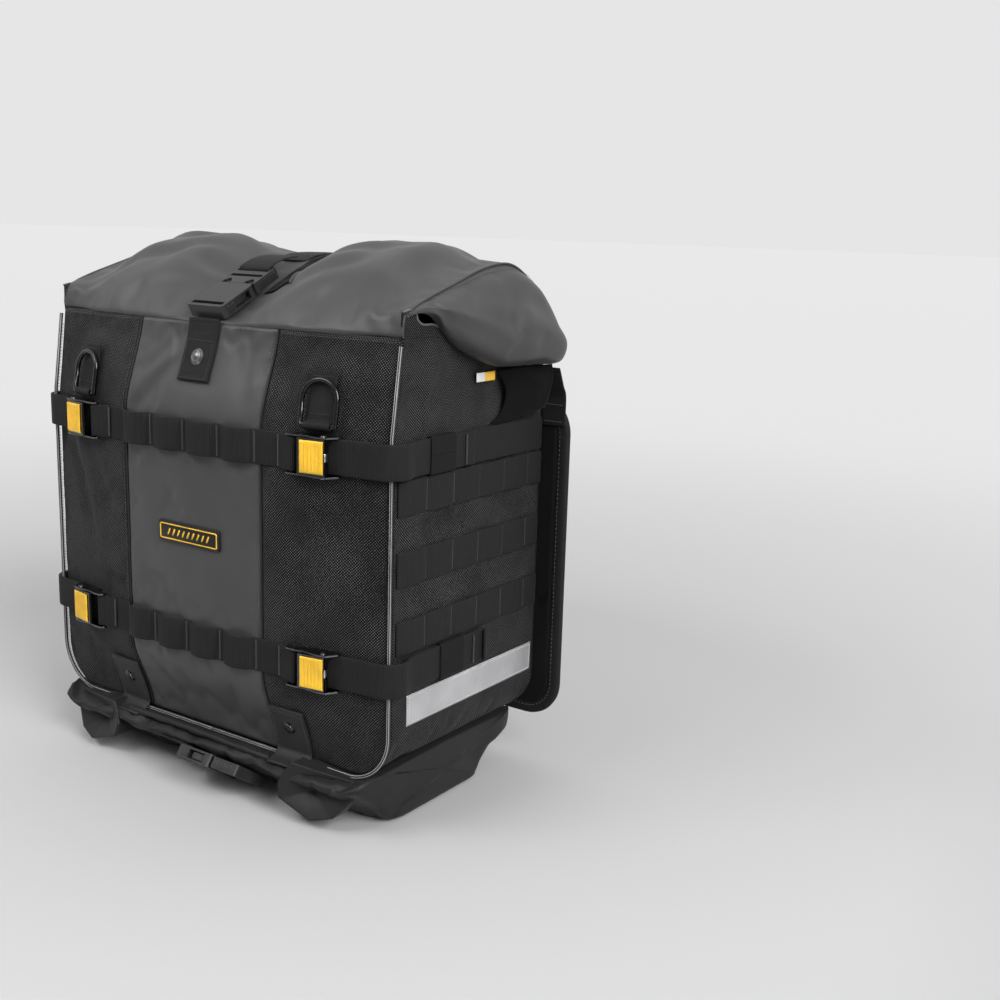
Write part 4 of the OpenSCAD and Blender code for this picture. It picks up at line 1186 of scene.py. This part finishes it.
crown = TOP + ROLL - DIP
closing = [[DEPTH - 0.55, TOP - 55], [DEPTH - 0.35, TOP - 20], [DEPTH + 0.05, TOP + 4], [213.5, TOP + 22.4],
           [199.6, TOP + 40.4], [182.5, crown + 2.7], [158, crown + 5.2], [125, crown + 4.2],
           [106, crown - 1.3]]
line = spline(closing, 70)
Parts().take(*ribbon([[0, y, z] for y, z in line], (1, 0, 0), WIDE)).make(
    "closing_strap_webbing", STRAP, slot="webbing", nodes=["closure_strap"])



def placer(origin, along, across, out):
    """Turns a buckle's own axes (along its webbing, across it, out) into bag millimetres."""
    def place(points):
        q = np.asarray(points, float).reshape(-1, 3)
        return (np.array(origin) + q[:, :1] * np.array(along) + q[:, 1:2] * np.array(across)
                + q[:, 2:] * np.array(out))
    return place


TILT = math.radians(27)
at_mouth = placer((0, 36, 457.0), (0, math.cos(TILT), math.sin(TILT)), (-1, 0, 0),
                  (0, -math.sin(TILT), math.cos(TILT)))
end = [[26.7, 0, -3], [26.9, 0, 5.0], [29, 0, 6.2], [34, 0, 6.5], [44, 0, 5.7], [56, 0, 2.7], [66, 0, -1.3]]
Parts().take(*ribbon(at_mouth(spline(end, 30)), (1, 0, 0), WIDE)).make(
    "closing_strap_end_webbing", STRAP, slot="webbing", body="closure_plug", nodes=["closure_strap_end"])

# Short straps at the board, loops on its back, ring tabs
board_top = high("backboard_cover")[2]
board_y = low("backboard_cover")[1] - FRONT
board_back = high("backboard_cover")[1] - FRONT
p = Parts()
for x in (-226, 226):
    rise = [(1.25, -26), (1.25, 2), (6, 12), (10.5, 22), (14, 29.5)]
    path = [[x, board_y - y, board_top + z] for y, z in rise]
    p.take(*ribbon(spline(path, 30), (1, 0, 0), WEB - 4))
    for z in (board_top - 22, board_top - 6):
        row = [[x + d, board_y - 2.05, z] for d in np.linspace(-10, 10, 8)]
        stitches(thread, row, (0, -1, 0), 2.8, 1.9, 0.3)
p.make("board_strap_webbing", STRAP, slot="webbing", nodes=["roll_straps"])

p = Parts()
half_loop = [(0.75, 41.5), (0.75, 27), (3.5, 21.5), (7.2, 16.5)]
for x in (-120, 120):
    for z in (150, 305):
        path = [[x, board_back + y, z + dz] for y, dz in half_loop]
        path += [[x, board_back + y, z - dz] for y, dz in half_loop[::-1]]
        p.take(*ribbon(spline(path, 60), (1, 0, 0), WIDE, 1.4))
        for dz in (-38, -30, 30, 38):
            row = [[x + d, board_back + 1.55, z + dz] for d in np.linspace(-16, 16, 12)]
            stitches(thread, row, (0, 1, 0), 2.8, 1.9, 0.3)
p.make("rack_loop_webbing", STRAP, slot="webbing", nodes=["rack_loops"])


def ring_tab(parts, side):
    """Webbing folded round the straight side of a D-ring and sewn to the front."""
    o, m = face_frame(RING_X, RING_Z)
    mirror = np.array([side, 1, 1])
    path = [[0, -1.25, 45.5], [0, -1.25, 12], [0, -1.5, 5]]
    path += [[0, -5.2 + 3.0 * math.cos(t), 3.0 * math.sin(t)] for t in np.linspace(0.9, -4.2, 16)]
    line = [(o + m @ q) * mirror for q in spline(path, 60)]
    parts.take(*ribbon(line, m[:, 0] * mirror, 26, 1.4, 1.0))
    for z in (10, 41):
        row = [(o + m @ np.array([x, -2.05, z])) * mirror for x in np.linspace(-10, 10, 8)]
        stitches(dark, row, (0, -1, 0), 2.4, 1.7, 0.26)


p = Parts()
for s in (-1, 1):
    ring_tab(p, s)
p.make("ring_tab_webbing", STRAP, slot="webbing", nodes=["d_ring_tabs"])

# ---- Pouch ----

def pouch():
    """Soft pouch: closed sections along the bag, drawn in at both ends, with folds."""
    outline = spline([[-8, 46.5], [-15, 45.4], [-21, 42.4], [-23, 37.2], [-12, 28.6], [8, 14.6], [20, 3.6],
                      [31, 0.6], [60, 0.3], [100, 0.3], [140, 0.4], [154, 2], [166, 12], [173, 21],
                      [190, 28], [207, 33], [214, 45], [212, 48.6]], 96)
    top = even([[212, 48.6], [102, 48.9], [-8, 46.5]], 30)[1:-1]
    ring = np.vstack([outline, top])
    n = len(ring)
    half = 3 - low("pouch_body")[0]
    places = [(x, 1.0) for x in np.linspace(0, half - 15, 54)]
    ends = [(-9, 0.995), (-5, 0.975), (-2.4, 0.935), (-0.9, 0.88), (-0.2, 0.8), (0.2, 0.66), (0.5, 0.46),
            (0.7, 0.24), (0.8, 0.06)]
    places += [(half + x, k) for x, k in ends]
    places = [(-x, k) for x, k in places[:0:-1]] + places
    grid = np.zeros((len(places), n, 3))
    for i, (x, k) in enumerate(places):
        rise = CORNER - math.sqrt(CORNER ** 2 - min(CORNER, max(0, abs(x) - HW + CORNER)) ** 2)
        sec = ring.copy()
        lift = smooth((sec[:, 1] - 20) / 26)
        sec[:, 1] += lift * rise * 0.75
        tuck = float(smooth((abs(x) - 150) / 45))
        sec[:, 1] += tuck * 5 * (1 - lift) * smooth((40 - sec[:, 0]) / 40)
        grid[i, :, 0] = x
        grid[i, :, 1] = 100 + (sec[:, 0] - 100) * k
        grid[i, :, 2] = 28 + (sec[:, 1] - 28) * k
    x0 = grid[:, :, 0].copy()
    under = (ring[:, 1] < 2)[None, :] * np.ones(x0.shape)
    covered = (np.arange(n) >= len(outline) - 1)[None, :] * np.ones(x0.shape)
    pin = np.maximum(np.maximum(under * 0.8, covered), 0.1)
    pin[:, 0] = 1
    grid = settle(grid, (0, -0.4, -1), pin, 0.4, 0.03, 1.2, 4.5, 43.0, 2.0)
    norm = normals_of(grid)
    away = grid - np.array([0, 100, 26.0])
    away[:, :, 0] *= (np.abs(x0) > half - 6)
    norm *= np.sign(np.sum(norm * away, axis=2, keepdims=True) + 1e-9)
    girth = travel(ring)[None, :] * np.ones(x0.shape)
    folds = [(-170, 30, -60, 66, 8, 3.4), (-120, 12, -80, 60, 7, 2.8), (62, 14, 116, 46, 8, 3.0),
             (-40, 52, 60, 40, 7, 2.2), (-100, 40, 20, 26, 6, 2.0), (100, 110, 184, 140, 10, 3.0),
             (-184, 112, -100, 150, 10, 3.0)]
    deep = creases(x0, girth, folds)
    soft = ripple(grid, 30, 47.0) + 0.4 * ripple(grid, 13, 5.0)
    ends = smooth((np.abs(x0) - half + 16) / 14)
    seam = ends * 2.2 * np.exp(-((grid[:, :, 1] - 128) / 3.0) ** 2)
    free = (1 - under) * (1 - covered)
    grid -= norm * (free * np.maximum(-0.9, deep + (2.0 + 1.4 * ends) * soft + seam))[:, :, None]
    grid[:, :, 2] = np.maximum(grid[:, :, 2], 0.05)
    Parts().take(grid, ring_faces(len(places), n), np.dstack([x0, girth])).make(
        "pouch_fabric", BLACK, slot="coated_fabric", nodes=["pouch_body"])


def pouch_corner(side, hand):
    """Folded front corner: facets sunk to a hub inside a creased rim."""
    rim = np.array([[118, -21, 53], [107, -26, 33], [110, -28, 20], [146, -27, 8.5], [167, -21, 14],
                    [187, -10, 37], [181, -9, 48], [140, -17, 51]], float)
    hub = np.array([138, -11.0, 29])
    centre = np.array([150, 0, 30.0])
    loop = even(np.vstack([rim, rim[:1]]), 105)[:-1]
    rings = []
    for k in np.linspace(1, 0.02, 16):
        ring = hub + (loop - hub) * k
        ring[:, 1] -= 1.6 * math.sin(math.pi * k)
        rings.insert(0, ring)
    for k in np.linspace(0, 1, 16)[1:]:
        ring = loop.copy()
        swell = 1 + 0.05 * math.sin(math.pi * k) - 0.12 * k
        ring[:, ::2] = centre[::2] + (ring[:, ::2] - centre[::2]) * swell
        ring[:, 1] = ring[:, 1] + (14 - ring[:, 1]) * k
        crumple = np.array([wobble(q, 15, 9.0) for q in ring])
        radial = unit((ring - centre) * (1, 0, 1))
        ring += radial * (1.8 * math.sin(math.pi * min(1, k * 1.2)) * crumple)[:, None]
        ring[:, 2] = np.clip(ring[:, 2], 0.3, 53)
        rings.append(ring)
    grid = np.array(rings) * (side, 1, 1)
    Parts().take(grid, ring_faces(*grid.shape[:2])).make(f"pouch_corner_fold_{hand}", BLACK,
                                                        slot="coated_fabric")


pouch()
pouch_corner(-1, "left")
pouch_corner(1, "right")

# Rolled lip along the front of the pouch, between the tabs
lip = spline([[-103, -13, 47], [-60, -15, 48.5], [0, -15.5, 48], [50, -15, 46.5], [84, -13, 45.5]], 60)
lip[:, 2] += [0.8 * wobble(q, 20, 13.0) for q in lip]
Parts().take(*tube(lip, [3.1 + 0.8 * wobble(q, 16, 17.0) for q in lip], 12)).make(
    "pouch_front_lip", BLACK, slot="coated_fabric")



def pouch_tab(parts, side):
    """Tab that hangs the pouch, folded over the front edge and edge-stitched."""
    turn = math.atan(float(face(TAB_X + 1, RIVET_Z) - face(TAB_X - 1, RIVET_Z)) / 2)
    pts = [[float(face(TAB_X, z)) - 2.3, z] for z in range(98, 52, -4)] + [[-8.9, 48.3], [-18.3, 45.7]]
    full = np.array([[side * (TAB_X - y * math.sin(turn)), y * math.cos(turn), z]
                     for y, z in spline(pts, 40)])
    across = np.array([side * math.cos(turn), math.sin(turn), 0])
    surface = full + np.array([0, -1.15, 0])
    parts.take(*ribbon(full, across, 40, 2.0))
    for e in (-17.5, 17.5):
        stitches(dark, surface[2:34] + across * e, (0, -1, 0.2), 3.0, 2.1, 0.28)
    row = [surface[3] + across * e for e in np.linspace(-16, 16, 12)]
    stitches(dark, row, (0, -1, 0.2), 3.0, 2.1, 0.28)


p = Parts()
for s in (-1, 1):
    pouch_tab(p, s)
p.make("pouch_tab_fabric", coated("coated_tab", (0.014, 0.014, 0.0145), 0.55), slot="woven_fabric",
       nodes=["pouch_tabs"])

SLOPE = math.radians(145)
ACROSS_POUCH = (0, math.cos(SLOPE), math.sin(SLOPE))
at_pouch = placer((34, -20.0, 25.0), (1, 0, 0), ACROSS_POUCH, (0, -math.sin(SLOPE), math.cos(SLOPE)))
path = [[-84, 0, -7.4], [-58, 0, -7.2], [-42, 0, -7.1], [-38, 0, -6], [-36.95, 0, -4], [-36.95, 0, 1]]
Parts().take(*ribbon(at_pouch(spline(path, 40)), ACROSS_POUCH, WIDE, 1.4)).make(
    "pouch_strap_webbing", STRAP, slot="webbing", nodes=["pouch_strap"])

# ---- Piping, reflective strips, tag and badge ----
px, py, pr = HW + 1.2, -2.1, CORNER + 1.2  # middle line of the piping
pipe, edge_lines = Parts(), Parts()
for s in (-1, 1):
    line = [[px, py + LEAN, TOP - 6], [px, py + 0.2, BROW + 2]]
    line += [[px, py, z] for z in np.linspace(BROW - 4, BASE + CORNER, 30)]
    line += [[HW - CORNER + pr * math.cos(t), py, BASE + CORNER - pr * math.sin(t)] for t in
             np.linspace(0.06, math.pi / 2, 22)]
    line += [[x, py, BASE - 1.2] for x in np.linspace(HW - CORNER - 8, 0, 20)]
    line = np.array(line) * np.array([s, 1, 1])
    pipe.take(*tube(line, 1.55, 12))
    bend = np.abs(line[:, 0]) - (HW - CORNER)
    drop = line[:, 2] - (BASE + CORNER)
    out2 = np.column_stack([np.where(bend > 0, bend, 0) * s, np.zeros(len(line)), np.minimum(drop, 0)])
    out2 = np.where(drop[:, None] > 0, np.array([[s, 0, 0]]), out2)
    out2 = out2 / np.maximum(np.linalg.norm(out2, axis=1, keepdims=True), 1e-6)
    for k in (-1, 1):
        edge_lines.take(*tube(line + out2 * 0.95 * k + np.array([0.0, -1.15, 0]), 0.5, 8))
    flange = even(line, 120)
    inward = np.column_stack([-np.sign(flange[:, 0]) * 1.52, np.full(120, 1.6), np.zeros(120)])
    stitches(dark, (flange + inward)[2:-2], (0, -1, 0), 3.2, 2.2, 0.25)
pipe.make("edge_piping_core", PIPE_CORE, slot="piping", nodes=["piping"])
edge_lines.make("edge_piping", PIPING, slot="piping")

strips, border_strip = Parts(), Parts()
zc = (low("reflective_strips")[2] + high("reflective_strips")[2]) / 2
zh = (high("reflective_strips")[2] - low("reflective_strips")[2]) / 2
for side in (1, -1):
    g = np.zeros((96, 18, 3))
    for i, y in enumerate(np.linspace(22.5, 214.5, 96)):
        for j, v in enumerate(np.linspace(-1, 1, 18)):
            e = min(1 - abs(v), min(y - 22.5, 214.5 - y) / 12)
            g[i, j] = (side * (HW + 0.5 + 0.35 * float(smooth(e * 5))
                               + 0.25 * wobble((y, 0, v * 12), 16, 3.0)), y, zc + v * (zh - 0.5))
    strips.take(*slab(g, 0.5, (-side, 0, 0)))
    corners = ((25, 2.6 - zh), (212, 2.6 - zh), (212, zh - 2.6), (25, zh - 2.6), (25, 2.6 - zh))
    loop = np.array([[side * (HW + 0.95), y, zc + z] for y, z in corners])
    for k in range(4):
        stitches(border_strip, even(loop[k:k + 2], 20), (side, 0, 0), 2.6, 2.0, 0.32)
strips.make("reflective_strip_tape", SILVER, slot="reflective", nodes=["reflective_strips"])
border_strip.make("reflective_strip_stitching", WHITE, slot="reflective")

a, b = low("side_tag"), high("side_tag")
g = np.array([[(b[0] - 0.5 + 0.3 * math.sin(2.5 * u + 1), a[1] - FRONT + u * 28, a[2] + v * 8)
               for v in np.linspace(0, 1, 8)] for u in np.linspace(0, 1, 30)])
Parts().take(*slab(g[:14], 0.8, (-1, 0, 0))).make("side_tag_white", WHITE, slot="yellow_pad")
Parts().take(*slab(g[13:], 0.8, (-1, 0, 0))).make(
    "side_tag_yellow", YELLOW, slot="yellow_pad", nodes=["side_tag"])


def plate(parts, origin, m, w, h, t, r, rise=0.5):
    """Rounded plate with a softened rim; w along m's X, h along its Z, standing out by t."""
    def ring(inset, depth):
        corners = rounded(w / 2 - inset, h / 2 - inset, max(0.2, r - inset), 7)
        return [origin + m @ np.array([x, -depth, z]) for x, z in corners]
    rings = [ring(0, 0), ring(0, t - rise), ring(rise * 0.3, t - rise * 0.3), ring(rise, t)]
    return parts.take(rings, ring_faces(4, len(rings[0])))


zb = (low("badge")[2] + high("badge")[2]) / 2
bw, bh = high("badge")[0] - low("badge")[0], high("badge")[2] - low("badge")[2]
o, m = face_frame(0, zb)
o = o + m @ np.array([0, -0.1, 0])
plate(Parts(), o, m, bw, bh, 2.0, 1.6).make("badge_plate", RUBBER, slot="badge_rubber", nodes=["badge"])
trim = Parts()
frame_line = [o + m @ np.array([x, -2.05, z]) for x, z in rounded(bw / 2 - 2.8, bh / 2 - 2.8, 1.4, 5)]
trim.take(*tube(frame_line, 0.62, 8, closed=True))
for k in range(9):
    x = -25 + k * 6.25
    bar = [o + m @ np.array([x - 1.4, -2.0, -2.9]), o + m @ np.array([x + 1.4, -2.0, 2.9])]
    trim.take(*tube(even(bar, 4), [0.75, 0.85, 0.85, 0.75], 8))
trim.make("badge_trim", YELLOW, slot="yellow_pad")

# ---- Hardware ----

def dress(node, mat, bevel=0.0, seg=2, angle=32):
    """Gives a CAD node its material and softened edges, its own mesh untouched."""
    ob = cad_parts[node]
    ob.data.materials.clear()
    ob.data.materials.append(mat)
    if "custom_normal" in ob.data.attributes:
        ob.data.attributes.remove(ob.data.attributes["custom_normal"])
    ob.data.polygons.foreach_set("use_smooth", [True] * len(ob.data.polygons))
    w = ob.modifiers.new("weld", "WELD")
    w.merge_threshold = 0.00001
    if bevel:
        b = ob.modifiers.new("bevel", "BEVEL")
        b.width, b.segments, b.limit_method, b.angle_limit = bevel, seg, "ANGLE", math.radians(angle)
    n = ob.modifiers.new("normals", "WEIGHTED_NORMAL")
    n.weight = 100


LEVERS = [f"cam_lever_{word}_{hand}" for word, _ in LEVELS for hand in ("left", "right")]
for node in ("buckle_frames", *LEVERS):
    dress(node, IRON, 0.0004)
for node in ("d_ring_left", "d_ring_right"):
    dress(node, IRON)
dress("rivets", IRON, 0.0006, 3)
dress("cam_pins", STEEL, 0.0003)
dress("cam_springs", STEEL)
dress("closure_snap", DULL_STEEL, 0.0007, 4)
for node in ("closure_buckle_female", "closure_buckle_male", "pouch_buckle_female", "pouch_buckle_male"):
    dress(node, PLASTIC, 0.0009, 3)
for node in ("closure_prong_left", "closure_prong_right", "pouch_prong_upper", "pouch_prong_lower"):
    dress(node, PLASTIC, 0.0005)
for node in ("base_stiffener", "backboard_core", "mouth_stiffener"):
    dress(node, SHEET, 0.0004)


def dome(parts, x, z, stand):
    """Raised round head with a rim, standing off the front at x, z."""
    o, m = face_frame(abs(x), z)
    turns = np.linspace(0, 2 * math.pi, 32, endpoint=False)
    profile = ((5.2, -0.1), (4.9, 0.25), (4.3, 0.3), (3.9, 0.15), (3.4, 0.25), (2.6, 0.75), (1.5, 1.05),
               (0.5, 1.15))
    rings = [[o + m @ np.array([r * math.cos(t), -stand - h, r * math.sin(t)]) for t in turns]
             for r, h in profile]
    rings = np.array(rings) * (1 if x >= 0 else -1, 1, 1)
    return parts.take(rings, ring_faces(len(profile), 32))


dome(Parts(), 0, 398, 5.1).make("snap_dome", DULL_STEEL, slot="steel")
heads = Parts()
for x in (TAB_X, -TAB_X):
    dome(heads, x, RIVET_Z, 5.05)
heads.make("rivet_dome", IRON, slot="black_metal")


def lever_pad(word, hand, side, z):
    """Yellow pad with upright grooves, on its lever."""
    o, m = face_frame(BUCKLE, z)
    wide, tall = 23, 27.5
    us = np.linspace(0, wide, 70)
    vs = np.concatenate([[0, 0.25, 0.8], np.linspace(1.6, 25.9, 12), [26.7, 27.25, 27.5]])
    g = np.zeros((len(us), len(vs), 3))
    for i, u in enumerate(us):
        wave = 0.6 * max(0.0, math.cos(2 * math.pi * (u - 11.5) / 3.4)) ** 4
        for j, v in enumerate(vs):
            e = min(u, wide - u, v, tall - v)
            groove = wave if 3 < u < 20 and 2 < v < 25.5 else 0
            t = 1.8 * min(1, 0.35 + 0.65 * math.sqrt(min(1, e / 1.1))) - groove
            g[i, j] = (o + m @ np.array([u - 8.2, -14.7 - t, v - tall / 2])) * (side, 1, 1)
    back = m @ np.array([0, 1, 0])
    Parts().take(*slab(g, 0.9, (back[0] * side, back[1], 0))).make(
        f"pad_{word}_{hand}", YELLOW, slot="yellow_pad", body=f"cam_{word}_{hand}",
        nodes=[f"lever_pad_{word}_{hand}"])


for word, z in LEVELS:
    for side, hand in SIDES:
        lever_pad(word, hand, side, z)

# Ribs on the sides of the side-release buckles
for place, name in ((at_mouth, "closure"), (at_pouch, "pouch")):
    sides = (("socket", "root", 23.0, -35, -28), ("plug", f"{name}_plug", 22.0, 7, 30))
    for part, rider, half, first, last in sides:
        p = Parts()
        for side in (-1, 1):
            for x in np.arange(first, last, 3.0):
                bar = place([[x, side * half, h] for h in np.linspace(-3.8, 3.8, 5)])
                p.take(*tube(bar, [0.35, 0.6, 0.65, 0.6, 0.35], 7))
        p.make(f"{name}_{part}_ribs", PLASTIC, slot="buckle_plastic", body=rider)

# ---- Mounting board ----
dress("backboard_cover", BOARD, 0.0004)


def board_binding():
    """Bound edge rolled round the board, with a row of stitches on each face."""
    half, middle = high("backboard_cover")[0], (BASE + board_top) / 2
    ring = [[x, middle + z] for x, z in rounded(half, (board_top - BASE) / 2, 34.0, 13)]
    rim = even(ring + ring[:1], 420)[:-1]
    n = len(rim)
    d = unit(np.roll(rim, -1, axis=0) - np.roll(rim, 1, axis=0))
    out = np.column_stack([d[:, 1], -d[:, 0]])
    section = [(-9, -0.3), (-8.7, -0.45), (-4, -0.5), (0.2, -0.45), (1.5, 0.6), (2.0, 3.0), (1.5, 5.4),
               (0.2, 6.45), (-4, 6.5), (-8.7, 6.45), (-9, 6.3), (-8.6, 6.02), (-0.1, 6.02), (-0.05, -0.02),
               (-8.6, -0.02)]
    pts = [[[p[0] + o[0] * a, board_y + b, p[1] + o[1] * a] for a, b in section] for p, o in zip(rim, out)]
    uv = [[(4.0 * i, 3.0 * k) for k in range(len(section))] for i in range(n)]
    Parts().take(pts, ring_faces(n, len(section), True), uv).make(
        "board_binding_tape", TAPE, slot="webbing", nodes=["backboard_binding"])
    closed = np.vstack([rim, rim[:1]]) - np.vstack([out, out[:1]]) * 6.5
    for y, side in ((board_y - 0.5, -1), (board_back + 0.5, 1)):
        row = np.column_stack([closed[:, 0], np.full(n + 1, y), closed[:, 1]])
        stitches(thread, row, (0, side, 0), 4.2, 2.6, 0.28)


def board_cloth():
    """Cloth on the board's two faces, with a slow ripple."""
    p = Parts()
    half, top, base, r = high("backboard_cover")[0] - 7, board_top - 7, BASE + 7, 27.0
    bend = np.linspace(0, math.pi / 2, 8)
    zs = np.concatenate([base + r * (1 - np.cos(bend))[:-1], np.linspace(base + r, top - r, 40),
                         top - r + r * np.sin(bend)[1:]])
    for y, side in ((board_y - 0.02, -1), (board_back + 0.02, 1)):
        g = np.zeros((60, len(zs), 3))
        for j, z in enumerate(zs):
            h = max(0, base + r - z, z - top + r)
            x = half - r + math.sqrt(max(0, r * r - h * h))
            for i, u in enumerate(np.linspace(-1, 1, 60)):
                g[i, j] = (u * x, y + side * 0.25 * (0.5 + wobble((u * x, 0, z), 40, 3.0)), z)
        p.take(*slab(g, 0.1, (0, -side, 0)))
    p.make("board_face_cloth", BOARD, slot="buckle_plastic")


board_binding()
board_cloth()
thread.make("seam_stitches", THREAD, slot="webbing")
dark.make("seam_stitches_dark", DARK_THREAD, slot="webbing")
